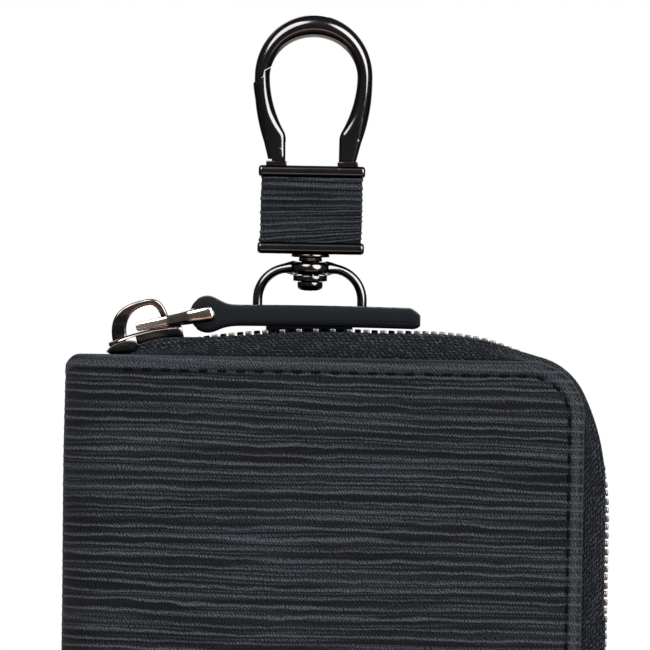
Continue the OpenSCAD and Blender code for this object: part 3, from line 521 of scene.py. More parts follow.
upper_bar, lower_bar = [round_bar(name, z, bar_l, bar_h, bar_d, bar_round, bar_end_r)
                        for name, z in (("frame_casting", upper_bar_z), ("lower_bar", lower_bar_z))]
core = tube_of("core", [[(x * core_half, y * core_half_t, z) for x, y in ((-1, -1), (1, -1), (1, 1), (-1, 1))]
                        for z in (lower_bar_z + 0.15, upper_bar_z - 0.15)], [gunmetal])
collars = [round_bar("collar", collar_z, collar_l, collar_h, collar_d, 0.14, 0.16) for _ in range(2)]
for collar, side in zip(collars, (-1, 1)):
    collar.data.transform(Matrix.Translation((side * collar_x * mm, 0, 0)))
leaves = [leaf_of("leaf", -leaf_out, -leaf_in), leaf_of("leaf", leaf_in, leaf_out)]
casting = joined(upper_bar, lower_bar, core, *collars, *leaves)
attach(casting, "hook")
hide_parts("hook_frame")
finished(casting, gunmetal, 0)

# Leather wrap.
# A strip of the rippled cowhide goes once round the plate between the bars. It is glued, its two ends
# meet at the back, and one lower corner has worked itself a little loose.
wrap_low, wrap_top, wrap_half, wrap_deep, wrap_r, wrap_t = -30.75, -21.05, 7.55, 1.9, 0.95, 1.05
no_edge = 5.0                           # a distance from the cut edge at which the leather shows no border
wrap_emboss, panel_emboss = 0.16, 0.14  # height of the ripple


def ripples(r, place):
    """Height of the embossed ripple, 0 in the valleys to 1 on the crests; place in millimetres"""
    u, z, _ = r.split(place)
    slow = r.noise(r.join(u * 0.012, z * 0.045), 1.0, 1.0)
    band = r.noise(r.join(u * 0.008, z * 0.5, 5.0), 1.0, 1.0)
    wander = r.noise(r.join(u * 0.035, z * 0.22, 2.0), 1.0, 2.0, 0.6)
    wobble = r.noise(r.join(u * 0.2, z * 0.5, 4.0), 1.0, 1.0)
    rope = r.noise(r.join(u * 0.9, z * 0.7), 1.0, 2.0, 0.6)
    line = z * 0.72 + u * 0.013 + slow * 1.7 + band * 0.4 + wander * 0.8 + wobble * 0.5 + rope * 0.12
    rise = line.step("FRACT")
    crest = rise.between(0.0, 0.10) * (1.0 - rise.between(0.12, 0.44))
    strength = r.noise(r.join(u * 0.03, z * 0.7, 3.0), 1.0, 1.0).between(0.32, 0.60)
    second = z * 1.55 + u * 0.020 + slow * 4.6 + band * 1.7 + wander * 2.2 + rope * 0.22
    pair = second.step("FRACT")
    thin = pair.between(0.0, 0.14) * (1.0 - pair.between(0.2, 0.7))
    some = r.noise(r.join(u * 0.04, z * 0.5, 7.0), 1.0, 1.0).between(0.42, 0.62)
    return (crest * (strength * 0.55 + 0.45)).step("MAXIMUM", thin * some * 0.4)


def embossed(made, height):
    """Pushes the ripple into the mesh, so that it is in the form and not only in the shading"""
    group, r, start, end = geometry_group("emboss")
    named = {"data_type": "FLOAT_VECTOR"}
    place = r.add("GeometryNodeInputNamedAttribute", named, {"Name": "sheet"})
    out = r.add("GeometryNodeInputNamedAttribute", named, {"Name": "outward"})
    lift = (ripples(r, place) - 0.3) * (height * mm)
    push = r.add("ShaderNodeVectorMath", {"operation": "SCALE"}, {0: out, "Scale": lift})
    moved = group.nodes.new("GeometryNodeSetPosition")
    group.links.new(start.outputs[0], moved.inputs["Geometry"])
    group.links.new(push.socket, moved.inputs["Offset"])
    group.links.new(moved.outputs[0], end.inputs[0])
    made.modifiers.new("emboss", "NODES").node_group = group
    baked(made).data.set_sharp_from_angle(angle=math.radians(55))
    return made


def note(made, name, values):
    """Stores one vector per point on the mesh"""
    layer = made.data.attributes.new(name, "FLOAT_VECTOR", "POINT")
    layer.data.foreach_set("vector", np.asarray(values, np.float32).ravel())


def ripple_leather(r, dark=0.0045, light=1.0):
    place = r.sheet_place()
    u, z, d = r.split(place)
    crest = ripples(r, place)
    loose = r.noise(r.join(u * 0.7, z * 1.4), 1.0, 2.0, 0.6)
    hatch = (u * 2.15 + z * 1.5 + loose * 2.6).step("FRACT")
    stroke = hatch.between(0.0, 0.3) * (1.0 - hatch.between(0.45, 0.95))
    pores = r.noise(r.join(u * 3.0, z * 4.4), 1.0, 2.0, 0.7)
    specks = pores.between(0.36, 0.64)
    grain = (stroke * 0.6 + specks * 0.5) ** 1.5 * 1.25
    patches = r.noise(r.join(u * 0.05, z * 0.12), 1.0, 3.0)
    soft = r.noise(r.join(u * 0.03, z * 0.7), 1.0, 2.0).between(0.4, 0.7)
    rim = 1.0 - d.between(0.06, 0.42)
    border = (1.0 - d.between(1.3, 2.2)) * d.between(0.3, 0.9)
    # Painted highlight: the ripple crests are lightened towards blue-grey in the colour, and the grain strokes and
    # specks lighten it further
    glint = crest * (0.06 + grain * 1.25) + grain * (0.10 + soft * 0.2)
    # Painted shade: the crests are dimmed over the spine and its folds, where the wrap turns away from the light
    fold_painted_shade = (u.step("ABSOLUTE") - 5.0).between(1.0, 12.0) * 0.4 + 0.6
    glint = glint * fold_painted_shade
    shade = r.blend(patches, tint(dark * 1.1, dark, dark * 1.1), tint(dark * 1.9, dark * 1.75, dark * 1.9))
    colour = r.blend(glint.step("MINIMUM", 1.0), shade, tint(0.112 * light, 0.126 * light, 0.150 * light))
    # Painted shade: the colour darkens along the groove of the stitch line
    seam = 1.0 - (d - 2.2).step("ABSOLUTE").between(0.05, 0.45)
    colour = r.blend(seam * 0.4, colour, tint(0.003, 0.003, 0.004))
    # Painted highlight: the puffed strip between the cut edge and the stitch line is lightened
    colour = r.blend(border * (0.03 + grain * 0.5), colour, tint(0.125, 0.14, 0.165))
    # Painted highlight: a thin light line along the rolled cut edge
    colour = r.blend(rim * 0.5, colour, tint(0.09, 0.095, 0.10))
    relief = crest * 0.45 + specks * 0.2 + stroke * 0.45
    return {"Base Color": colour, "Roughness": 0.66 - crest * 0.12 + pores * 0.1,
            "Normal": r.bump(relief, 1.0, 0.13)}


leather = surface("ripple_leather", ripple_leather, Specular_IOR_Level=0.05)
# The wrap's copy of the same leather: deeper painted shade in the valleys and a brighter painted highlight on the
# crests
wrap_leather = surface("wrap_leather", lambda r: ripple_leather(r, 0.002, 1.15), Specular_IOR_Level=0.04)


def wrap_piece():
    """A sleeve of leather that bulges, dips where its ends meet, and gapes a little at two corners"""
    corner = wrap_r * math.pi / 2
    side, front = 2 * (wrap_deep - wrap_r), 2 * (wrap_half - wrap_r)
    around = 2 * (side + front) + 4 * corner
    count, rows = 210, 88
    places, normals, lengths = [], [], []
    for k in range(count):
        s = around * k / count
        rest, leg = s, 0
        legs = [(front, (-wrap_half + wrap_r, -wrap_deep), (1, 0), (0, -1)),
                (side, (wrap_half, -wrap_deep + wrap_r), (0, 1), (1, 0)),
                (front, (wrap_half - wrap_r, wrap_deep), (-1, 0), (0, 1)),
                (side, (-wrap_half, wrap_deep - wrap_r), (0, -1), (-1, 0))]
        while True:
            span, at, way, out = legs[leg]
            if rest < span:
                places.append((at[0] + way[0] * rest, at[1] + way[1] * rest))
                normals.append(out)
                break
            rest -= span
            if rest < corner:
                a = rest / wrap_r
                n = (out[0] * math.cos(a) + way[0] * math.sin(a), out[1] * math.cos(a) + way[1] * math.sin(a))
                c = (at[0] + way[0] * span - out[0] * wrap_r, at[1] + way[1] * span - out[1] * wrap_r)
                places.append((c[0] + n[0] * wrap_r, c[1] + n[1] * wrap_r))
                normals.append(n)
                break
            rest -= corner
            leg += 1
        lengths.append(s)
    rings, sheet, out = [], [], []
    back = front + side + 2 * corner + front / 2
    for k in range(rows):
        t = k / (rows - 1)
        z = wrap_low + (wrap_top - wrap_low) * t
        ring = []
        for (x, y), (nx, ny), s in zip(places, normals, lengths):
            bulge, butt = 0.10 * math.sin(math.pi * t), 0.22 * math.exp(-((s - back) / 0.22) ** 2)
            low_corner = 0.38 * math.exp(-t / 0.07) * math.exp(-((x + wrap_half) / 1.3) ** 2)
            top_corner = 0.12 * math.exp(-(1 - t) / 0.05) * math.exp(-((x - wrap_half) / 1.0) ** 2)
            h = bulge - butt + low_corner * (1 if y < 0.5 else 0.3) + top_corner
            slant = max(0.0, 0.8 - t) * (x + wrap_half) * 0.2
            ring.append((x + nx * h, y + ny * h, z))
            sheet.append((((s - back) % around) * 1.1 + 11, z * 1.3 + 8 - slant, no_edge))
            out.append((nx, ny, 0))
        rings.append(ring)
    for z in (wrap_top, wrap_low):
        ring = []
        for (x, y), (nx, ny), s in zip(places, normals, lengths):
            ring.append((x - nx * wrap_t, y - ny * wrap_t, z))
            sheet.append((s, z, no_edge))
            out.append((0, 0, 0))
        rings.append(ring)
    points = [p for ring in rings for p in ring]
    faces = []
    total = rows + 2
    for k in range(total):
        for i in range(count):
            j = (i + 1) % count
            a, b = k * count, ((k + 1) % total) * count
            faces.append((a + i, a + j, b + j, b + i))
    made = piece_of("wrap", points, faces, [wrap_leather])
    note(made, "sheet", sheet)
    note(made, "outward", out)
    return embossed(made, wrap_emboss)


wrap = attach(wrap_piece(), "hook")
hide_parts("wrap_leather")

# Swivel and ring.
# A turned post, riveted under the lower bar, lets the ring turn. The ring is round wire bent to a D with
# a cast boss in its upper side, and a washer keeps it on the post. All are plated as the bow.
for node, round_mm in (("swivel_post", 0.13), ("swivel_washer", 0.16)):
    finished(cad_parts[node], gunmetal, round_mm, 3)


def disc(name, profile, z, sides):
    """A turned piece: rings of given radius and height about the upright axis"""
    rings = [[(r * math.cos(q), r * math.sin(q), z + h) for q in turns(sides)] for r, h in profile]
    return tube_of(name, rings, [gunmetal])


def d_ring_piece():
    """Round rod swept along the D, thicker where it runs into the boss, and the bored boss melted on"""
    rod, half, top_r, low_r, boss_r, boss_h, bore_r = 0.725, 7.825, 4.7, 1.55, 2.95, 1.9, 1.36
    top_z, low_z = -34.65, -42.4
    line = [(boss_r * 0.5, top_z), (2.6, top_z), (3.0, top_z), (3.05, top_z)]
    corners = [(half - top_r, top_z - top_r, top_r, 90, 12), (half - low_r, low_z + low_r, low_r, 0, 8),
               (low_r - half, low_z + low_r, low_r, -90, 8), (top_r - half, top_z - top_r, top_r, 180, 12)]
    for cx, cz, r, start, steps in corners:
        for a in np.radians(np.linspace(start, start - 90, steps + 1)):
            line.append((cx + r * math.cos(a), cz + r * math.sin(a)))
    line += [(-x, z) for x, z in line[3::-1]]
    rings = []
    for k, p in enumerate(line):
        a, b = line[max(k - 1, 0)], line[min(k + 1, len(line) - 1)]
        t = Vector((b[0] - a[0], b[1] - a[1])).normalized()
        n = Vector((-t.y, t.x))
        near = abs(p[1] - top_z) < 0.4
        r = rod + (0.42 * math.exp(-((abs(p[0]) - 2.4) / 1.0) ** 2) if near else 0)
        rings.append([(p[0] + n.x * r * math.cos(q), r * math.sin(q), p[1] + n.y * r * math.cos(q))
                      for q in turns(24)])
    hoop = tube_of("ring", rings, [gunmetal])
    profile = [(boss_r - 0.62, -0.95), (boss_r - 0.32, -0.9), (boss_r - 0.1, -0.7), (boss_r, -0.35), (boss_r, 0.3),
               (boss_r - 0.1, 0.6), (boss_r - 0.35, 0.84), (boss_r - 0.7, 0.95)]
    bore = [(bore_r, -boss_h), (bore_r, boss_h)]
    return carved(joined(hoop, disc("boss", profile, top_z, 48)), disc("bore", bore, top_z, 32))


ring = d_ring_piece()
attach(ring, "ring")
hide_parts("d_ring")
finished(ring, gunmetal, 0.08, 2, 46, planar=False)

# Hanger tab.
# A strap of smooth black cowhide, folded over the ring's lower bar. Its two plies are sewn together and
# to the back cover, and its cut edges are filled with edge paint.
def strap_hide(r):
    place = r.own_place()
    pebble = r.add("ShaderNodeTexVoronoi", {"feature": "DISTANCE_TO_EDGE"}, {"Vector": place, "Scale": 1500.0})
    cloud = r.noise(place, 180.0, 3.0)
    crease = r.noise(place, 3600.0, 3.0, 0.65)
    cell = pebble.between(0.0, 0.22)
    return {"Base Color": r.blend(cloud * 0.6 + crease * 0.4, tint(0.007, 0.0076, 0.009),
                                  tint(0.022, 0.0245, 0.029)),
            "Roughness": 0.62 - cell * 0.14 + crease * 0.1,
            "Normal": r.bump(cell * 0.6 + crease * 0.5, 0.7, 0.06)}


def edge_paint(r):
    place = r.own_place()
    fuzz = r.noise(place, 1500.0, 3.0, 0.6)
    broad = r.noise(place, 120.0, 2.0)
    return {"Base Color": r.blend(fuzz * 0.5 + broad * 0.5, tint(0.0095, 0.0118, 0.0150),
                                  tint(0.0150, 0.0182, 0.0228)),
            "Roughness": 0.46 + fuzz * 0.16,
            "Normal": r.bump(fuzz, 0.25, 0.05)}


strap_leather = surface("strap_hide", strap_hide, Specular_IOR_Level=0.12)
painted_edge = surface("edge_paint", edge_paint, Specular_IOR_Level=0.1)


def strap(name, spine, half_width, half_thick, along, across):
    """A flat strap swept along a line in one plane; across is the direction of its width"""
    edge_r, crown = 0.3, 0.05
    section = []
    for w in np.concatenate([np.linspace(-1, -0.9, 4), np.linspace(-0.8, 0.8, 13), np.linspace(0.9, 1, 4)]):
        fall = max(0.0, abs(w) * half_width - (half_width - edge_r))
        section.append((w * half_width, half_thick + crown * (1 - w * w) - (edge_r - math.sqrt(
            max(edge_r ** 2 - fall ** 2, 0.0))) * 0.8))
    outline = section + [(w, -h) for w, h in section[::-1]]
    rings = []
    for k, p in enumerate(spine):
        a, b = spine[max(k - 1, 0)], spine[min(k + 1, len(spine) - 1)]
        t = Vector((b[0] - a[0], b[1] - a[1])).normalized()
        n = Vector((-t.y, t.x))
        rings.append([along * (p[0] + n.x * h) + Vector((0, 0, 1)) * (p[1] + n.y * h) + across * w
                      for w, h in outline])
    made = tube_of(name, rings, [strap_leather, painted_edge])
    for face in made.data.polygons:
        if abs(face.normal.dot(across)) > 0.75 or len(face.vertices) > 4:
            face.material_index = 1
    return made


tab_bar_z, tab_foot_z, tab_half, tab_ply, tab_neck = -42.4, -59.0, 6.5, 0.98, 3.2
ply_y, loop_r = 0.51, 0.845 + tab_ply / 2
tab_half_line = [(-ply_y, z) for z in np.linspace(tab_foot_z, tab_bar_z - tab_neck, 24)]
tab_half_line += [(-ply_y - (loop_r - ply_y) * math.sin(math.pi / 2 * t) ** 2, tab_bar_z - tab_neck * (1 - t))
                  for t in np.linspace(0.08, 0.92, 10)]
tab_loop = [(-loop_r * math.cos(a), tab_bar_z + loop_r * math.sin(a)) for a in np.linspace(0, math.pi, 25)]
tab_line = tab_half_line + tab_loop + [(-y, z) for y, z in tab_half_line[::-1]]
tab = strap("folded_tab", tab_line, tab_half, tab_ply / 2, Vector((0, 1, 0)), Vector((1, 0, 0)))
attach(tab, "case")
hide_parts("hanger_tab")


def black_thread(r):
    place = r.own_place()
    ply = r.noise(place, 4200.0, 2.0)
    return {"Base Color": r.blend(ply, tint(0.0012, 0.0012, 0.0016), tint(0.006, 0.006, 0.008)),
            "Roughness": 0.5 + ply * 0.2,
            "Normal": r.bump(ply, 0.5, 0.05)}


thread = surface("black_thread", black_thread, Specular_IOR_Level=0.05)


def stitches(name, holes, outward, body, proud=0.10, deep=0.45, radius=0.21, share=0.74):
    """Lockstitches over a row of holes: each dips into the leather at both its ends"""
    points, faces = [], []
    sides, steps = 7, 9
    for k in range(len(holes) - 1):
        a, b = Vector(holes[k]), Vector(holes[k + 1])
        n = Vector(outward[k])
        way = (b - a).normalized()
        side = way.cross(n).normalized()
        middle, half = (a + b) / 2, (b - a).length * share / 2
        start = len(points)
        for i in range(steps):
            t = -1 + 2 * i / (steps - 1)
            lift = proud - (proud + deep) * abs(t) ** 4
            c = middle + way * (half * t) + n * lift
            fat = radius * (1 - 0.3 * t ** 6)
            for j in range(sides):
                q = 2 * math.pi * j / sides
                points.append(c + side * (fat * math.cos(q)) + n * (fat * 0.8 * math.sin(q)))
        for i in range(steps - 1):
            for j in range(sides):
                m = (j + 1) % sides
                p, q = start + i * sides, start + (i + 1) * sides
                faces.append((p + j, p + m, q + m, q + j))
        faces.append(tuple(range(start, start + sides)))
        last = start + (steps - 1) * sides
        faces.append(tuple(range(last, last + sides)))
    return piece_of(name, points, faces, [thread], body)


stitch_pitch = 2.8


def holes_along(path, pitch):
    """Evenly spaced places along a line of points"""
    path = np.array(path, float)
    steps = np.hypot(*(path[1:] - path[:-1]).T)
    run = np.concatenate([[0], np.cumsum(steps)])
    count = max(2, int(round(run[-1] / pitch)) + 1)
    at = np.linspace(0, run[-1], count)
    return [(float(np.interp(s, run, path[:, 0])), float(np.interp(s, run, path[:, 1]))) for s in at]


def holes_round(corners, pitch):
    """Holes along straight runs of stitching from corner to corner"""
    rows = []
    for a, b in zip(corners[:-1], corners[1:]):
        rows += holes_along([a, b], pitch)[:-1]
    return rows + [corners[-1]]


tab_stitch_pitch, tab_face = 2.0, 1.04
rows = holes_round([(-5, -58), (-5, -46.5), (5, -46.5), (5, -58), (-5, -58)], tab_stitch_pitch)
for name, side in (("tab_stitches", -1), ("tab_back_stitches", 1)):
    stitches(name, [(x, side * tab_face, z) for x, z in rows], [(0, side, 0)] * len(rows), "case",
             0.06, 0.4, 0.18)

# Outer leather.
# One wrap of black cowhide, embossed with long wavy ripples, goes from the back round the spine to the
# front. It is cut here at the two folds and down the spine's middle, where the pieces meet edge to edge.
back_low, back_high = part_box("back_cover")
front_low, front_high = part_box("front_cover")
spine_low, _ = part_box("spine_cover")
case_left, case_right = spine_low.x / mm, front_high.x / mm
case_low, case_top = front_low.z / mm, front_high.z / mm
half_depth = (back_high.y - front_low.y) / 2 / mm
middle_y = (back_high.y + front_low.y) / 2 / mm
leather_t = (back_high.y - back_low.y) / mm
fold_r = 6.8                            # radius of the wrap at the spine's corners
corner_r = 8.25                         # round corners of the free side
spine_drop = 1.3                        # the leather sinks this much at the spine's ends
fold_x = case_left + fold_r
flat_half = half_depth - fold_r         # half of the spine's flat part
turn_len = fold_r * math.pi / 2
panel_u = flat_half + turn_len          # where the flat panel begins, along the leather
seam_u = panel_u + 0.3
end_u = panel_u + case_right - fold_x
edge_r = 0.5
stitch_in = 2.2                         # from the edge to the seam


def on_wrap(u, h):
    """Point and outward direction, in millimetres, of a place u along the wrap and h above its face"""
    side = np.where(u < 0, -1.0, 1.0)
    a = np.abs(u)
    turn = np.clip((a - flat_half) / fold_r, 0, math.pi / 2)
    nx, ny = -np.cos(turn), -side * np.sin(turn)
    ox = np.where(a < panel_u, fold_x, fold_x + a - panel_u)
    oy = middle_y - side * np.minimum(a, flat_half)
    return ox + (fold_r + h) * nx, oy + (fold_r + h) * ny, nx, ny


def edge_distance(x, z):
    """How far a place on the wrap, seen from the front, lies inside the cut edge"""
    dx, dz = case_right - x, np.minimum(case_top - z, z - case_low)
    corner = corner_r - np.hypot(corner_r - dx, corner_r - dz)
    return np.where((dx < corner_r) & (dz < corner_r), corner, np.minimum(dx, dz))


def right_end(z):
    """How far right a row of the panel reaches at a height"""
    dz = np.clip(corner_r - np.minimum(case_top - z, z - case_low), 0, corner_r)
    return case_right - corner_r + np.sqrt(np.maximum(corner_r ** 2 - dz ** 2, 0))


edge_steps = np.array([0, 0.03, 0.1, 0.2, 0.34, 0.5, 0.75, 1.05, 1.35, 1.6, 1.8, 1.95, 2.08, 2.2, 2.32,
                       2.45, 2.6, 2.8, 3.1])


def eased(low, high, step, low_edge=True, high_edge=True):
    """Places from low to high at a step, closer together beside a cut edge"""
    a = low + edge_steps[-1] if low_edge else low
    b = high - edge_steps[-1] if high_edge else high
    middle = np.linspace(a, b, max(2, int((b - a) / step) + 1))
    parts = [low + edge_steps[:-1]] if low_edge else []
    parts.append(middle)
    if high_edge:
        parts.append((high - edge_steps[:-1])[::-1])
    return np.concatenate(parts)


def sheet_faces(rows, columns, flip=False):
    """Faces of a grid of points"""
    faces = []
    for r in range(rows - 1):
        for c in range(columns - 1):
            a = r * columns + c
            q = (a, a + 1, a + columns + 1, a + columns)
            faces.append(q[::-1] if flip else q)
    return faces


def border_of(rows, columns):
    """The grid's border points, in order round it"""
    low = list(range(columns))
    right = [r * columns + columns - 1 for r in range(1, rows)]
    top = [(rows - 1) * columns + c for c in range(columns - 2, -1, -1)]
    left = [r * columns for r in range(rows - 2, 0, -1)]
    return low + right + top + left


def cut_edge(r):
    place = r.own_place()
    fuzz = r.noise(place, 2600.0, 3.0, 0.6)
    return {"Base Color": r.blend(fuzz, tint(0.016, 0.018, 0.021), tint(0.032, 0.036, 0.042)),
            "Roughness": 0.42 + fuzz * 0.2,
            "Normal": r.bump(fuzz, 0.4, 0.05)}


painted_rim = surface("painted_rim", cut_edge, Specular_IOR_Level=0.2)


def leather_piece(name, u_low, u_high, row_step, column_step, inner_grid):
    """One closed piece of the wrap between two places along it: u runs along, z up, d from the cut edge"""
    zs = eased(case_low, case_top, row_step)
    free = u_high >= end_u or u_low <= -end_u
    if free:
        shares = eased(0, end_u - seam_u, column_step, low_edge=False) / (end_u - seam_u)
        reach_u = seam_u + (right_end(zs) - fold_x - (seam_u - panel_u))[:, None] * shares[None, :]
        u = reach_u if u_high >= end_u else -reach_u[:, ::-1]
    else:
        us = np.linspace(u_low, u_high, max(2, int((u_high - u_low) / column_step)))
        u = np.repeat(us[None, :], len(zs), 0)
    z = np.repeat(zs[:, None], u.shape[1], 1)
    x0, _, _, _ = on_wrap(u, 0)
    round_share = np.clip((np.abs(u) - flat_half) / fold_r / math.radians(42), 0, 1)
    drop = spine_drop * (0.5 + 0.5 * np.cos(math.pi * round_share))
    z = case_low + drop + (z - case_low) * (case_top - case_low - 2 * drop) / (case_top - case_low)
    d = np.minimum(edge_distance(x0, z), np.minimum(case_top - drop - z, z - case_low - drop))
    d = np.maximum(d, 0)
    roll = np.where(d < edge_r, edge_r - np.sqrt(np.maximum(edge_r ** 2 - (edge_r - d) ** 2, 0)), 0)
    strip = 0.10 * np.exp(-((d - 1.25) / 0.6) ** 2) - 0.17 * np.exp(-((d - stitch_in) / 0.33) ** 2)
    strip = strip + 0.05 * np.exp(-((d - 3.3) / 0.8) ** 2)
    sag = np.sin(u * 0.11 + 1.3) * np.sin(z * 0.083) * 0.12 * np.clip((d - 2) / 12, 0, 1)
    calm = np.clip((np.abs(u) - flat_half) / turn_len, 0.45, 1) * np.clip((d - 0.15) / 0.7, 0.0, 1)
    groove = 1 - 0.75 * np.exp(-((d - stitch_in) / 0.4) ** 2)
    h = -roll + strip * np.clip((np.abs(u) - flat_half) / turn_len, 0.3, 1) + sag
    x, y, nx, ny = on_wrap(u, h)
    rows, columns = u.shape
    points = np.stack([x, y, z], -1).reshape(-1, 3)
    sheet = np.stack([u, z, d], -1).reshape(-1, 3)
    out = np.stack([nx, ny, 0 * nx], -1) * (calm * groove)[:, :, None]
    out = out.reshape(-1, 3)
    faces = sheet_faces(rows, columns)
    ring = border_of(rows, columns)
    levels = [(-leather_t + 0.25, 0.0), (-leather_t, 0.22)]
    last = ring
    marks = [0] * len(faces)
    flat_u, flat_z, flat_d = u.reshape(-1), z.reshape(-1), d.reshape(-1)
    for depth, inset in levels:
        start = len(points)
        xr, yr, _, _ = on_wrap(flat_u[ring], depth)
        zr = flat_z[ring]
        pulled = np.sign(zr - (case_low + case_top) / 2) * inset * (flat_d[ring] < 0.02)
        xr = np.where((flat_d[ring] < 0.02) & (np.abs(xr - case_right) < corner_r), xr - inset * 0.7, xr)
        points = np.concatenate([points, np.stack([xr, yr, zr - pulled], -1)])
        sheet = np.concatenate([sheet, sheet[ring]])
        out = np.concatenate([out, np.zeros((len(ring), 3))])
        new = [start + i for i in range(len(ring))]
        for i in range(len(ring)):
            j = (i + 1) % len(ring)
            faces.append((last[j], last[i], new[i], new[j]))
            marks.append(1)
        last = new
    if inner_grid:
        start = len(points)
        xi, yi, _, _ = on_wrap(u[1:-1, 1:-1], -leather_t)
        inner = np.stack([xi, yi, z[1:-1, 1:-1]], -1).reshape(-1, 3)
        points = np.concatenate([points, inner])
        inner_sheet = np.stack([u, z, d], -1)[1:-1, 1:-1]
        sheet = np.concatenate([sheet, inner_sheet.reshape(-1, 3)])
        out = np.concatenate([out, np.zeros((len(inner), 3))])
        where = -np.ones(rows * columns, int)
        for k, g in enumerate(ring):
            where[g] = last[k]
        index = np.arange(rows * columns).reshape(rows, columns)
        where[index[1:-1, 1:-1].reshape(-1)] = start + np.arange(len(inner))
        for f in sheet_faces(rows, columns, flip=True):
            faces.append(tuple(int(where[i]) for i in f))
            marks.append(0)
    else:
        faces.append(tuple(last))
        marks.append(0)
    made = piece_of(name, points, faces, [leather, painted_rim])
    made.data.polygons.foreach_set("material_index", marks)
    note(made, "sheet", sheet)
    note(made, "outward", out)
    return embossed(made, panel_emboss)


panel_rows, panel_columns, spine_columns = 0.24, 0.5, 0.4
front_leather = leather_piece("front_leather", seam_u, end_u, panel_rows, panel_columns, False)
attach(front_leather, "front")
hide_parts("front_cover")
back_leather = leather_piece("back_leather", -end_u, -seam_u, panel_rows, panel_columns, False)
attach(back_leather, "case")
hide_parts("back_cover")
front_flat, front_bend = middle_y - flat_half - 0.5, middle_y - half_depth + 0.05
back_flat, back_bend = middle_y + flat_half + 0.5, middle_y + half_depth - 0.05
spine_front_leather = leather_piece("spine_front_leather", 0.0, seam_u, panel_rows, spine_columns, True)
front_flat * mm
front_bend * mm
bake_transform(spine_front_leather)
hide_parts("spine_cover")
spine_back_leather = leather_piece("spine_back_leather", -seam_u, 0.0, panel_rows, spine_columns, True)
back_bend * mm
back_flat * mm
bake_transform(spine_back_leather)

seam_corner = corner_r - stitch_in
seam_path = [(seam_u - panel_u + fold_x + 0.9, case_top - stitch_in)]
seam_path += [(case_right - corner_r + seam_corner * math.sin(a),
               case_top - corner_r + seam_corner * math.cos(a))
              for a in np.linspace(0, math.pi / 2, 15)]
seam_path += [(x, case_top + case_low - z) for x, z in seam_path[::-1]]
seam_holes = holes_along(seam_path, stitch_pitch)
groove_deep = 0.16
for side, body, name in ((-1, "front", "front_stitches"), (1, "case", "back_stitches")):
    y = middle_y + side * (half_depth - groove_deep)
    stitches(name, [(x, y, z) for x, z in seam_holes], [(0, side, 0)] * len(seam_holes), body,
             0.16, 0.5, 0.21, 0.64)

# Boards and linings.
# Each cover is stiffened by a sheet of grey board glued to the leather, and lined with black sueded cloth
# that is glued over the board and caught in the seam. The spine is lined but has no board.
def grey_board(r):
    place = r.own_place()
    flock = r.noise(place, 700.0, 5.0, 0.75)
    return {"Base Color": r.blend(flock, tint(0.16, 0.15, 0.13), tint(0.27, 0.255, 0.225)),
            "Roughness": 0.85 + flock * 0.1,
            "Normal": r.bump(flock, 0.4, 0.06)}


def sueded(r):
    place = r.own_place()
    nap = r.noise(place, 2600.0, 4.0, 0.7)
    brushed = r.noise(r.add("ShaderNodeVectorMath", {"operation": "MULTIPLY"}, {0: place, 1: (120, 120, 420)}),
                      1.0, 3.0)
    return {"Base Color": r.blend(nap * 0.6 + brushed * 0.4, tint(0.009, 0.0092, 0.0105),
                                  tint(0.030, 0.031, 0.035)),
            "Roughness": 0.86 + nap * 0.1,
            "Normal": r.bump(nap, 0.6, 0.08)}


board = surface("grey_board", grey_board)
lining = surface("sueded_lining", sueded, Specular_IOR_Level=0.1)
for node in ("front_board", "back_board"):
    finished(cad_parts[node], board, 0.05)


def inward_of(path):
    """Directions, one per point, that point into a closed outline"""
    after, before = np.roll(path, -1, 0), np.roll(path, 1, 0)
    way = after - before
    area = 0.5 * np.sum(path[:, 0] * after[:, 1] - after[:, 0] * path[:, 1])
    return np.stack([-way[:, 1], way[:, 0]], -1) / np.hypot(*way.T)[:, None] * (1 if area > 0 else -1)


def lining_sheet(name, outline, y_face, y_back):
    """A flat cloth with a rounded edge, its face at y_face, filled from a 2D outline"""
    side = 1 if y_face > y_back else -1
    lip, dome, dome_run = min(0.28, abs(y_face - y_back) * 0.45), 0.03, 1.2
    path = np.array(outline, float)
    inward = inward_of(path)
    levels = [(0, y_back), (0, y_face - side * lip), (lip * 0.3, y_face - side * lip * 0.3), (lip, y_face),
              (lip + dome_run, y_face + side * dome)]
    made = tube_of(name, [[(p[0] + n[0] * inset, y, p[1] + n[1] * inset) for p, n in zip(path, inward)]
                          for inset, y in levels], [lining])
    made.data.set_sharp_from_angle(angle=math.radians(50))
    return made


def rounded(left, right, low, top, r):
    """Outline with round right corners and small round left ones"""
    steps, out = 10, []
    small_r = 0.6
    for cx, cz, start, rr in ((right, top, 90, r), (right, low, 0, r),
                              (left, low, -90, small_r), (left, top, 180, small_r)):
        sx, sz = (-1 if cx == right else 1), (-1 if cz == top else 1)
        for a in np.radians(np.linspace(start, start - 90, steps)):
            out.append((cx + sx * rr + rr * math.cos(a), cz + sz * rr + rr * math.sin(a)))
    return out


board_t, lining_t, lining_in = 0.65, 0.5, 1.2
panel_x = fold_x + 0.3
lining_level = half_depth - leather_t - board_t
lining_shape = rounded(panel_x, case_right - lining_in, case_low + lining_in, case_top - lining_in,
                       corner_r - lining_in)
for side, body in ((-1, "front"), (1, "case")):
    outer = middle_y + side * lining_level
    cloth = lining_sheet(body + "_sueded_lining", lining_shape, outer - side * lining_t, outer)
    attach(cloth, body)
    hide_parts("front_lining" if side < 0 else "back_lining")


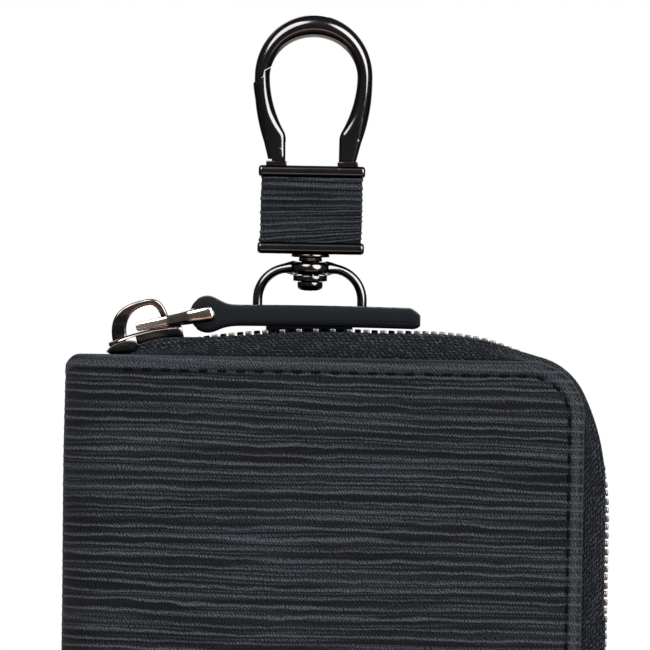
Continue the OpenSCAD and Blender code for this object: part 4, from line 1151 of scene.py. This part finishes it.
def spine_cloth(name, u_low, u_high):
    """The spine's lining, on the inner face of its leather, with soft edges at its two ends"""
    face, middle, back = -leather_t - 0.48, -leather_t - 0.25, -leather_t - 0.02
    rings = []
    for u in np.linspace(u_low, u_high, 34):
        ring = []
        for z, h in ((case_low + 1.3, face), (case_low + 1.2, middle), (case_low + 1.3, back),
                     (case_top - 1.3, back), (case_top - 1.2, middle), (case_top - 1.3, face)):
            x, y, _, _ = on_wrap(np.array([u]), h)
            ring.append((float(x[0]), float(y[0]), z))
        rings.append(ring)
    return tube_of(name, rings, [lining])


spine_front_cloth = spine_cloth("spine_front_lining", 0.0, seam_u)
spine_back_cloth = spine_cloth("spine_back_lining", -seam_u, 0.0)
for cloth in (spine_front_cloth, spine_back_cloth):
    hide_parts("spine_lining")
front_flat * mm
front_bend * mm
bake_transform(spine_front_cloth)
back_bend * mm
back_flat * mm
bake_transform(spine_back_cloth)

# Card pocket.
# A panel of thin smooth cowhide, sewn down on three sides inside the front cover and open at its top,
# with a thumb notch. A folded rim of the same hide holds it off the lining.
pocket_w, pocket_h, pocket_rim, rim_t, pocket_face = 54.9, 58.3, 2.5, 0.92, 1.9
pocket_mid = (case_right + panel_x) / 2
pocket_low = case_low + 4.8
pocket_top = pocket_low + pocket_h
pocket_back = middle_y - lining_level + lining_t
left, right = pocket_mid - pocket_w / 2, pocket_mid + pocket_w / 2
notch_r = 8.0
pocket_steps = np.array([0, 0.1, 0.25, 0.45])


def pocket_piece():
    """The pocket's face as a grid that follows the notch, rolled over at its edges"""
    xs = np.concatenate([left + pocket_steps, np.linspace(left + 1.2, pocket_mid - notch_r - 0.2, 14),
                         pocket_mid - notch_r * np.cos(np.linspace(0.06, math.pi - 0.06, 33)),
                         np.linspace(pocket_mid + notch_r + 0.2, right - 1.2, 14), (right - pocket_steps)[::-1]])
    tops = pocket_top - np.sqrt(np.maximum(notch_r ** 2 - (xs - pocket_mid) ** 2, 0))
    share = np.linspace(0, 1, 22)[:, None]
    middle = pocket_low + 0.9 + (tops[None, :] - pocket_low - 1.8) * share
    z = np.concatenate([np.repeat(pocket_low + pocket_steps[:, None], len(xs), 1), middle,
                        tops[None, :] - pocket_steps[::-1, None]])
    x = np.repeat(xs[None, :], len(z), 0)
    sides = np.minimum(np.minimum(x - left, right - x), z - pocket_low)
    d = np.minimum(np.minimum(sides, tops[None, :] - z), np.hypot(x - pocket_mid, z - pocket_top) - notch_r)
    d = np.maximum(d, 0)
    roll_r, seam_in = 0.4, 1.2
    h = -np.where(d < roll_r, roll_r - np.sqrt(np.maximum(roll_r ** 2 - (roll_r - d) ** 2, 0)), 0)
    h -= 0.12 * np.exp(-((sides - seam_in) / 0.35) ** 2)
    belly = np.sin(math.pi * (x - left) / pocket_w) * np.clip((z - pocket_low) / pocket_h, 0, 1)
    h += 0.25 * belly * np.clip(d / 6, 0, 1)
    points = np.stack([x, pocket_back + pocket_face + h, z], -1).reshape(-1, 3)
    faces, ring = sheet_faces(*x.shape), border_of(*x.shape)
    start = len(points)
    back = points[ring].copy()
    back[:, 1] = pocket_back + rim_t
    points = np.concatenate([points, back])
    for i in range(len(ring)):
        j = (i + 1) % len(ring)
        faces.append((ring[j], ring[i], start + i, start + j))
    faces.append(tuple(start + i for i in range(len(ring))))
    return piece_of("card_pocket_leather", points, faces, [strap_leather], "front")


pocket = pocket_piece()
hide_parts("card_pocket")
rim = [(left, pocket_top), (left, pocket_low), (right, pocket_low), (right, pocket_top),
       (right - pocket_rim, pocket_top), (right - pocket_rim, pocket_low + pocket_rim),
       (left + pocket_rim, pocket_low + pocket_rim), (left + pocket_rim, pocket_top)]
rim = tube_of("pocket_rim", [[(x, y, z) for x, z in rim] for y in (pocket_back + 0.02, pocket_back + rim_t)],
              [strap_leather], body="front")
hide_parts("card_pocket")
pocket_seam = [(left + 1.2, pocket_top - 1), (left + 1.2, pocket_low + 1.2), (right - 1.2, pocket_low + 1.2),
               (right - 1.2, pocket_top - 1)]
rows = holes_round(pocket_seam, stitch_pitch)
stitches("pocket_stitches", [(x, pocket_back + pocket_face, z) for x, z in rows], [(0, 1, 0)] * len(rows),
         "front", 0.06, 0.4, 0.2)

# Zip tapes.
# Two herringbone tapes of black polyester. Each is gripped by its row of teeth, bends over towards its
# cover and is sewn into the seam between leather and lining. The tape stands fuller beside the teeth.
tape_t, tape_flat, tape_in, tape_seam = 0.55, 4.6, 1.35, half_depth - leather_t - 0.3025
tape_flange, tape_bend = 4.5, 5.2
chain_start_gap, arc_shift = 0.1, 1.1
swell_at, swell_before, swell_after = 54.0, 16.0, 11.0      # the chain stands 1 mm out of its arc there
top_turn, corner_turn = math.radians(14), math.radians(64)
chain_corner_r, chain_side_r = 8.5, 42.0
chain_x, chain_z = case_right + 2.9, case_top + 3.3
corner_x = chain_x - chain_side_r + (chain_side_r - chain_corner_r) * math.sin(corner_turn)
arc_x = (case_left + case_right) / 2 + arc_shift
chain_top_r = chain_corner_r + (corner_x - arc_x) / math.sin(top_turn)
arc_z = chain_z - chain_top_r
corner_z = arc_z + (chain_top_r - chain_corner_r) * math.cos(top_turn)
side_z = corner_z - (chain_side_r - chain_corner_r) * math.cos(corner_turn)
start_turn = math.asin((panel_x - chain_start_gap - arc_x) / chain_top_r)
middle_z = (case_top + case_low) / 2
lengths = [chain_top_r * (top_turn - start_turn), chain_corner_r * (corner_turn - top_turn),
           chain_side_r * (math.pi / 2 - corner_turn), side_z - middle_z]
half_chain = sum(lengths)
arcs = [(arc_x, arc_z, chain_top_r, start_turn), (corner_x, corner_z, chain_corner_r, top_turn),
        (chain_x - chain_side_r, side_z, chain_side_r, corner_turn)]


def chain_at(s):
    """Place and outward turn of the chain at a distance along it; it swells before the corner"""
    if s > half_chain:
        x, z, turn = chain_at(2 * half_chain - s)
        return x, 2 * middle_z - z, math.pi - turn
    x, z, turn = chain_line(s)
    run = swell_before if s < swell_at else swell_after
    swell = math.cos(math.pi / 2 * min(1, abs(s - swell_at) / run)) ** 2
    return x + swell * math.sin(turn), z + swell * math.cos(turn), turn


def chain_line(s):
    """The chain's even line: three arcs and a straight"""
    for (x, z, r, turn), length in zip(arcs, lengths):
        if s < length:
            turn += s / r
            return x + r * math.sin(turn), z + r * math.cos(turn), turn
        s -= length
    return chain_x, side_z - s, math.pi / 2


def edge_at(x, z):
    """Nearest place on the cover's edge and its outward direction"""
    if z < middle_z:
        (ex, ez), (nx, nz) = edge_at(x, 2 * middle_z - z)
        return (ex, 2 * middle_z - ez), (nx, -nz)
    cx, cz = case_right - corner_r, case_top - corner_r
    if x <= cx:
        return (x, case_top), (0.0, 1.0)
    if z <= cz:
        return (case_right, z), (1.0, 0.0)
    d = math.hypot(x - cx, z - cz)
    return (cx + corner_r * (x - cx) / d, cz + corner_r * (z - cz) / d), ((x - cx) / d, (z - cz) / d)


# How full the tape stands at places along the chain, from its start to the middle of the side
full_places = [0, 2.5, 4.2, 7.5, 11.5, 15, 22, 30, 38, 44, 52, 58.5, 64, 69, 73, 78, 83, 88, 95]
full_heights = [0.4, 0.8, 1.5, 1.7, 1.3, 0.65, 0.45, 0.5, 0.6, 0.65, 0.7, 0.75, 0.9, 0.9, 1.0, 1.05, 0.9,
                0.5, 0.45]


def fullness(s):
    """How far the tape stands up beside the teeth, in millimetres"""
    t = min(s, 2 * half_chain - s)
    near = np.exp(-((t - np.array(full_places)) / 3.0) ** 2) + 1e-6
    near *= np.gradient(np.array(full_places, float))
    return float(np.dot(near, full_heights) / near.sum())


def herringbone(r):
    place = r.sheet_place()
    s, v, _ = r.split(place)
    loose = r.noise(r.join(s * 1.3, v * 1.6), 1.0, 3.0, 0.6)
    row = v * 2.3 + loose * 2.2
    place_in_row = row.step("FRACT")
    odd = (row * 0.5).step("FRACT").step("GREATER_THAN", 0.5)
    slant = (0.8 - odd * 0.35) * (place_in_row - 0.5)
    yarn = (s * 1.25 - slant + odd * 0.45 + loose * 2.8).step("FRACT")
    bead = (1.0 - (yarn - 0.5).step("ABSOLUTE").between(0.08, 0.42)) \
        * (1.0 - (place_in_row - 0.5).step("ABSOLUTE").between(0.10, 0.44))
    fibre = r.noise(r.join(s * 2.6, v * 4.4), 1.0, 2.0, 0.7).between(0.36, 0.62)
    patch = r.noise(r.join(s * 0.55, v * 0.8), 1.0, 2.0).between(0.3, 0.7)
    # Painted highlight: the yarn beads are lightened towards blue-grey in the colour
    shine = bead * (0.2 + fibre * 0.8) * (0.35 + patch * 0.65) + fibre * 0.09
    return {"Base Color": r.blend(shine.step("MINIMUM", 1.0), tint(0.0035, 0.0038, 0.005),
                                  tint(0.135, 0.155, 0.185)),
            "Roughness": 0.72 - bead * 0.14,
            "Normal": r.bump(bead + fibre * 0.25, 0.9, 0.16)}


tape_weave = surface("herringbone_tape", herringbone, Specular_IOR_Level=0.05)


def tape_piece(name, side):
    """The tape's section, from the teeth over the bend into the seam, swept along the chain"""
    first_half = np.linspace(0, half_chain, 330)
    stations = np.concatenate([first_half, 2 * half_chain - first_half[-2::-1]])
    bends = np.radians(np.linspace(0, 90, 25)[1:])
    rings, sheet = [], []
    for s in stations:
        x, z, turn = chain_at(s)
        nx, nz = math.sin(turn), math.cos(turn)
        (ex, ez), (ox, oz) = edge_at(x, z)
        full = fullness(s)
        faces = []
        for h in (tape_t / 2, -tape_t / 2):
            line = []
            for u in np.linspace(tape_in, tape_flat, 8):
                lift = min(full * 0.25, 0.28) * ((u - tape_in) / (tape_flat - tape_in)) ** 3 if h > 0 else 0
                line.append((x + (h + lift) * nx, u, z + (h + lift) * nz, u))
            for a in bends:
                swell = full * math.exp(-((math.degrees(a) - 24) / 17) ** 2) if h > 0 else \
                    full * 0.6 * math.exp(-((math.degrees(a) - 26) / 14) ** 2)
                px = ex + (x - ex) * math.cos(a) + (h * math.cos(a) + swell) * nx
                pz = ez + (z - ez) * math.cos(a) + (h * math.cos(a) + swell) * nz
                line.append((px, tape_flat + (tape_seam - tape_flat) * math.sin(a) + h * math.sin(a), pz,
                             tape_flat + tape_bend * a / (math.pi / 2)))
            for under, across in ((tape_flange * 0.5, 12.0), (tape_flange, 14.0)):
                line.append((ex - under * ox, tape_seam + h, ez - under * oz, across))
            faces.append(line)
        ring = faces[0] + faces[1][::-1]
        rings.append([(p[0], middle_y + side * p[1], p[2]) for p in ring])
        sheet += [(s, p[3], 0) for p in ring]
    made = tube_of(name, rings, [tape_weave])
    note(made, "sheet", sheet)
    return made


front_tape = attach(tape_piece("front_tape", -1), "front")
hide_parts("zip_tape_front")
back_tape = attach(tape_piece("back_tape", 1), "case")
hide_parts("zip_tape_back")

# Zip teeth.
# Single teeth of plated brass, each clamped on the tape's corded edge. The front row stands half a pitch
# on from the back row, so that the heads lock between each other.
def plated_brass(r):
    place = r.own_place()
    cloud = r.noise(place, 420.0, 2.0)
    nick = r.noise(place, 2800.0, 3.0, 0.7)
    return {"Base Color": r.blend(cloud, tint(0.009, 0.009, 0.0095), tint(0.022, 0.020, 0.019)),
            "Roughness": 0.2 + cloud * 0.12 + nick * 0.1,
            "Normal": r.bump(nick, 0.2, 0.05)}


zip_metal = surface("plated_brass", plated_brass, Metallic=1.0, Specular_Tint=tint(0.5, 0.5, 0.5))
tooth_pitch, tooth_l, tooth_h = 2.5, 0.95, 2.2
head_out, jaw_in, jaw_out, jaw_h = 0.75, 1.29, 3.0, 0.67
slider_x, slider_l = case_left + 12.35, 11.2
slider_turn = math.asin((slider_x - arc_x) / chain_top_r)
teeth_start = chain_top_r * (slider_turn - start_turn) - 1.12       # a little before the slider's middle
teeth_count = int((2 * half_chain - slider_l / 2 - teeth_start) / tooth_pitch)


def teeth_row(name, side, offset):
    """A row of teeth: each has a head past the middle and a jaw that grips the tape's edge"""
    head, jaw = tooth_h * 0.35, tooth_h / 2
    half = [(-head_out, head), (head_out, head), (head_out, jaw), (jaw_out, jaw), (jaw_out, jaw_h / 2),
            (jaw_in, jaw_h / 2)]
    outline = [(across, -out) for across, out in half] + half[::-1]
    points, faces = [], []
    count = len(outline)
    for i in range(teeth_count):
        x, z, turn = chain_at(teeth_start + (i + offset) * tooth_pitch)
        start = len(points)
        for along in (-tooth_l / 2, tooth_l / 2):
            for across, out in outline:
                points.append((x + out * math.sin(turn) + along * math.cos(turn), middle_y + side * across,
                               z + out * math.cos(turn) - along * math.sin(turn)))
        faces.append(tuple(range(start, start + count)))
        faces.append(tuple(range(start + count, start + 2 * count)))
        for k in range(count):
            j = (k + 1) % count
            faces.append((start + k, start + j, start + count + j, start + count + k))
    return finished(piece_of(name, points, faces, [zip_metal]), zip_metal, 0.2, 3)


front_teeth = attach(teeth_row("front_teeth", -1, 0.5), "front")
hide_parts("zip_teeth_front")
back_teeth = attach(teeth_row("back_teeth", 1, 0), "case")
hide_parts("zip_teeth_back")

# Folded tape ends.
# At the open ends of the chain the tape is folded under and sealed, which leaves a small glossy black
# stub on each side of the slider.
def sealed(r):
    place = r.own_place()
    melt = r.noise(place, 900.0, 3.0)
    return {"Base Color": r.blend(melt, tint(0.002, 0.002, 0.0025), tint(0.006, 0.006, 0.007)),
            "Roughness": 0.16 + melt * 0.2,
            "Normal": r.bump(melt, 0.5, 0.2)}


sealed_end = surface("sealed_tape", sealed, Specular_IOR_Level=0.1)


def stub(name, x_low, x_high, y_low, y_high, z_low, z_high):
    """A soft folded end: a rounded cushion, lower towards the spine"""
    rings = []
    for t in np.linspace(0, 1, 15):
        x = x_low + (x_high - x_low) * t
        puff = max(0.02, 1 - abs(2 * t - 1) ** 3.2) ** 0.5
        top = z_low + (z_high - z_low) * (0.45 + 0.55 * math.sin(math.pi / 2 * t) ** 0.8)
        ring = []
        for a in turns(28):
            cy, cz = squared(a, 0.6, 0.6)
            ring.append((x, (y_low + y_high) / 2 + (y_high - y_low) / 2 * cy * puff,
                         (z_low + top) / 2 + (top - z_low) / 2 * cz * puff))
        rings.append(ring)
    return tube_of(name, rings, [sealed_end])


longer_left, longer_right, sunk, taller = 0.9, 1.1, 0.15, 0.6
for node, body in (("zip_ends_front", "front"), ("zip_ends_back", "case")):
    low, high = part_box(node)
    low, high = low / mm, high / mm
    reach = (low.x - longer_left, high.x + longer_right, low.y, high.y)
    top_stub = stub(body + "_top_end", *reach, case_top - sunk, high.z + taller)
    low_stub = stub(body + "_low_end", *reach, -case_low - sunk, taller - low.z)
    low_stub.data.transform(Matrix.Diagonal((1, 1, -1, 1)))
    low_stub.data.flip_normals()
    for made in (top_stub, low_stub):
        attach(made, body)
        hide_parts(node)

# Slider.
# Cast zinc plated as the hook: two plates joined by a post at the mouth, and an arched bridge on the
# upper one. The pull link is a tapered fork whose end bar carries the leather puller.
def nickel_with_painted_warm_reflection(r):
    place = r.own_place()
    # Painted reflection: warm brown bands in the colour stand in for a warm surround reflected in the plating
    painted_reflection_band = r.noise(r.add("ShaderNodeVectorMath", {"operation": "MULTIPLY"}, {0: place, 1: (150, 300, 420)}),
                    1.0, 1.0).between(0.40, 0.60)
    fine = r.noise(place, 3600.0, 2.0)
    return {"Base Color": r.blend(painted_reflection_band, tint(0.0065, 0.006, 0.0063), tint(0.034, 0.026, 0.023)),
            "Roughness": 0.12 + fine * 0.08,
            "Normal": r.bump(painted_reflection_band + fine * 0.05, 0.08, 0.05)}


slider_metal = surface("nickel_with_painted_warm_reflection", nickel_with_painted_warm_reflection, Metallic=1.0, Specular_Tint=tint(0.5, 0.5, 0.5))
slider_z = arc_z + chain_top_r * math.cos(slider_turn)
slider_w = 8.6
plate_lift, plate_bow, plate_crest = 1.054, 0.0171, 1.0


def on_slider(x, y, z):
    """A place given along, across and above the slider"""
    return (slider_x + x * math.cos(slider_turn) + z * math.sin(slider_turn), middle_y + y,
            slider_z - x * math.sin(slider_turn) + z * math.cos(slider_turn))


def lifted(x, y, z):
    """The upper plate is bowed: it stands off the chain most at its middle"""
    return on_slider(x, y, z + plate_lift - plate_bow * (x - plate_crest) ** 2)


def slider_block(name, x_low, x_high, half_width, z_low, z_high, place=on_slider):
    """A block given in the slider's own directions"""
    rings = [[place(x, y, z) for y, z in ((-half_width, z_low), (half_width, z_low), (half_width, z_high),
                                          (-half_width, z_high))] for x in np.linspace(x_low, x_high, 9)]
    return tube_of(name, rings, [slider_metal], smooth=False)


def slider_shell(side, place):
    """One plate with its two flanges, round-nosed at the mouth"""
    nose, half_l, half_w = slider_w / 4, slider_l / 2, slider_w / 2
    rings = []
    for x in np.concatenate([nose - half_l - nose * np.cos(np.linspace(0.12, math.pi / 2, 9)),
                             np.linspace(nose - half_l, half_l, 12)[1:]]):
        beyond = max(0.0, nose - half_l - x)
        w = half_w - nose + math.sqrt(nose ** 2 - beyond ** 2)
        w *= 1 - 0.07 * (x + half_l) / slider_l
        half = [(w, 0.5), (w, 1.9), (w - 0.06, 2.08), (w - 0.2, 2.22), (w - 0.42, 2.3), (w * 0.4, 2.34)]
        ring = half + [(-y, z) for y, z in half[::-1]]
        rings.append([place(x, y, side * z) for y, z in ring])
    shell = tube_of("slider", rings, [slider_metal])
    return carved(shell, slider_block("bore", -7, 7, 3.3, side * 0.2, side * 1.38, place),
                  slider_block("mouth", -7, -1.4, 6, side * 0.2, side * 1.84, place))


slider = joined(slider_shell(1, lifted), slider_shell(-1, on_slider),
                slider_block("post", -5.5, -3.0, 0.88, -1.9, 2.6))
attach(slider, "slider")
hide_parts("slider_body")
finished(slider, slider_metal, 0.1, 2, 40, planar=False)


def curve_through(corners, steps):
    """Points on a cubic curve with the four corners as its control points"""
    a, b, c, d = np.array(corners, float)
    return [tuple(a * (1 - q) ** 3 + 3 * b * q * (1 - q) ** 2 + 3 * c * q * q * (1 - q) + d * q ** 3)
            for q in np.linspace(0, 1, steps)]


def bridge_piece():
    """An arch between an outer and an inner curve"""
    plate, top, back, front, foot, band = 2.55, 7.92, 4.95, 3.95, 2.2, 0.95
    crest, half, r = 1.25, 1.1, 0.3
    outer = curve_through([(-back, plate), (-back, plate + 4.7), (-back * 0.42, top), (crest, top)], 15)
    outer += curve_through([(crest, top), (front * 0.86, top), (front + 0.1, top - 1.7), (front, 3.1)], 13)[1:]
    inner = curve_through([(front - band, 3.1), (front - band, top - 2.1), (front * 0.62, top - band),
                           (crest, top - band)], 13)
    inner += curve_through([(crest, top - band), (-back * 0.3, top - band), (foot - back, plate + 2.8),
                            (foot - back, plate)], 15)[1:]
    path = np.array(outer + inner)
    inward = inward_of(path)
    rows = [(-half + r * (1 - math.cos(q)), r * (1 - math.sin(q))) for q in np.linspace(0, math.pi / 2, 5)]
    rows += [(-y, inset) for y, inset in rows[::-1]]
    return tube_of("bridge", [[on_slider(p[0] + n[0] * inset, y, p[1] + n[1] * inset)
                               for p, n in zip(path, inward)] for y, inset in rows], [slider_metal])


bridge = bridge_piece()
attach(bridge, "slider")
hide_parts("slider_bridge")
finished(bridge, slider_metal, 0, planar=False)


def link_metal_with_painted_gradient(r):
    place = r.own_place()
    x, _, _ = r.split(place)
    # Painted reflection: a warm colour, brighter at the link's eye end and darker towards its fork
    along = x.between(-27.5 * mm, -17 * mm)
    cloud = r.noise(place, 420.0, 2.0)
    fine = r.noise(place, 3600.0, 2.0)
    colour = r.blend(along, tint(0.13, 0.115, 0.106), tint(0.055, 0.046, 0.042))
    return {"Base Color": r.blend(cloud.between(0.4, 0.8) * 0.6, colour, tint(0.03, 0.025, 0.023)),
            "Roughness": 0.13 + fine * 0.08,
            "Normal": r.bump(cloud + fine * 0.05, 0.08, 0.05)}


link_metal = surface("link_metal", link_metal_with_painted_gradient, Metallic=1.0, Specular_Tint=tint(0.62, 0.62, 0.62))


def link_piece():
    """A tapered plate with a window round the bridge and an open fork with a bar for the leather"""
    stations = [(-1.10, 2.0, 0.30), (-1.03, 2.07, 0.50), (-0.85, 2.1, 0.64), (-0.6, 2.1, 0.67), (1.2, 2.1, 0.72),
                (3.5, 2.12, 0.84), (3.9, 2.3, 0.87), (5.2, 3.42, 0.96), (6.5, 4.5, 1.05), (6.95, 4.78, 1.09),
                (9.0, 4.8, 1.20), (10.2, 4.8, 1.22), (10.45, 4.77, 1.16), (10.6, 4.66, 1.0)]
    rings = []
    for x, wide, high in stations:
        level = 4.14 - 0.016 * (x + 1)
        ring = []
        for q in turns(56):
            cy, cz = squared(q, 0.13, 0.62)
            ring.append(on_slider(x, wide * cy, level + high * cz))
        rings.append(ring)
    body = tube_of("link", rings, [link_metal])
    body = carved(body, slider_block("eye_window", -0.35, 4.6, 1.25, 2, 7),
                  slider_block("fork_window", 6.95, 12, 3.95, 2, 7))
    bar_x, bar_z, bar_r, bar_half = 9.8, 3.9, 0.8, 4.3
    bar = [[on_slider(bar_x + bar_r * math.cos(q), y, bar_z + bar_r * math.sin(q)) for q in turns(24)]
           for y in (-bar_half, bar_half)]
    return joined(body, tube_of("link_bar", bar, [link_metal]))


link = link_piece()
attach(link, "link")
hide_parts("pull_link")
finished(link, link_metal, 0.1, 2, 46, planar=False)

# Leather puller.
# A strip of thick cowhide looped round the link's bar; its two plies are glued and sewn, and the cut edge
# has many coats of slate-grey edge paint, so that it looks like one piece from the side.
bar_x, bar_z = -15.1773, -41.7839       # the link's bar, which the strip turns on
pull_l, pull_half, pull_ply, pull_r, pull_hole, pull_tip = 31.6, 3.8, 1.42, 2.62, 0.96, 1.4
pull_sink = 0.16


def pull_half_height(x):
    """Half the strip's thickness: two plies, and a round eye about the bar"""
    return pull_ply + (pull_r - pull_ply) * math.exp(-1.5 * (max(x, 0) / pull_r) ** 2)


def puller_piece():
    """The strip's side view, drawn in step by step towards its two sides, and bored for the bar"""
    top = []
    for a in np.linspace(math.pi, math.pi / 2, 20)[:-1]:
        top.append((pull_r * math.cos(a), pull_r * math.sin(a)))
    for x in np.concatenate([np.linspace(0, 2.6 * pull_r, 26),
                             np.linspace(2.6 * pull_r, pull_l - pull_tip, 26)[1:]]):
        bow_up = 0.16 * math.sin(math.pi * x / pull_l)
        top.append((x, pull_half_height(x) + bow_up))
    top += [(pull_l - pull_tip + pull_tip * t, pull_ply - 0.95 * t ** 1.4) for t in np.linspace(0.15, 1.0, 9)]
    low = [(x, -z + 0.3 * math.sin(math.pi * max(x, 0) / pull_l) * (1 if x > 0 else 0)) for x, z in top[:-9]]
    low += [(pull_l - pull_tip + pull_tip * t, -pull_ply + 0.4 * t ** 3) for t in np.linspace(0.15, 1.0, 9)]
    path = np.array(top + low[::-1][:-1])
    inward = inward_of(path)
    rings = []
    half_rows = [(1.0, 0.7), (0.998, 0.6), (0.99, 0.5), (0.976, 0.38), (0.955, 0.22), (0.93, 0.08), (0.9, 0.01),
                 (0.8, -0.07), (0.6, -0.13), (0.35, -0.16)]
    rows = [(-w, inset) for w, inset in half_rows] + [(0, -0.17)] + half_rows[::-1]
    for w, inset in rows:
        ring = []
        for (x, z), n in zip(path, inward):
            k = min(inset, 0.38) if inset > 0 or x > -1.5 else inset * 0.4
            px, pz = x + n[0] * k, z + n[1] * k
            near = (min(max(px, 0.0), pull_l - 1.6), 0.0)
            shrink = 1 - max(0.0, inset - 0.38) * 1.5
            px, pz = near[0] + (px - near[0]) * shrink, pz * shrink
            sink = pull_sink * min(1.0, max(0.0, x / 3))
            ring.append((bar_x + px, middle_y + w * pull_half, bar_z + pz - sink))
        rings.append(ring)
    made = tube_of("leather_puller", rings, [strap_leather, painted_edge])
    for face in made.data.polygons:
        ys = [made.data.vertices[v].co.y / mm - middle_y for v in face.vertices]
        if min(abs(y) for y in ys) > pull_half * 0.92:
            face.material_index = 1
    hole = [[(bar_x + pull_hole * math.cos(a), y, bar_z + pull_hole * math.sin(a)) for a in turns(24)]
            for y in (middle_y - 5, middle_y + 5)]
    made = carved(made, tube_of("bar_hole", hole, [strap_leather]))
    made.data.set_sharp_from_angle(angle=math.radians(50))
    return made


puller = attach(puller_piece(), "puller")
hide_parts("pull_leather")
rows = holes_round([(4.6, -2.9), (pull_l - 2.6, -2.9), (pull_l - 2.6, 2.9), (4.6, 2.9)], 2.2)
for up, name in ((1, "puller_top_stitches"), (-1, "puller_low_stitches")):
    places = [(bar_x + x, middle_y + y, bar_z - pull_sink + up * (pull_half_height(x) + 0.02)
               + (0.16 if up > 0 else 0.3) * math.sin(math.pi * x / pull_l)) for x, y in rows]
    stitches(name, places, [(0, 0, up)] * len(places), "puller", 0.0, 0.5, 0.17)

# Key rail and key hooks.
# A bent steel rail, nickel plated and held by two rivets, carries six swivelling hooks. Each hook is
# cast and closed by a flat spring tongue that gives when a key is pushed on.
def bright_nickel(r):
    place = r.own_place()
    cloud = r.noise(place, 260.0, 2.0)
    drag = r.noise(r.add("ShaderNodeVectorMath", {"operation": "MULTIPLY"}, {0: place, 1: (260, 2600, 2600)}),
                   1.0, 3.0)
    return {"Base Color": r.blend(cloud, tint(0.52, 0.50, 0.46), tint(0.64, 0.62, 0.58)),
            "Roughness": 0.2 + drag * 0.16,
            "Normal": r.bump(drag, 0.12, 0.04)}


nickel = surface("bright_nickel", bright_nickel, Metallic=1.0)
rail_parts = [("key_plate", nickel, 0.2, 3), ("key_plate_rivets", nickel, 0.08, 2)]
for number in range(1, 7):
    rail_parts += [("key_hook_%d" % number, nickel, 0.28, 3),
                   ("key_tongue_%d" % number, spring_steel, 0.08, 2)]
for node, material, round_mm, segments in rail_parts:
    finished(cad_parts[node], material, round_mm, segments, streaks=False)
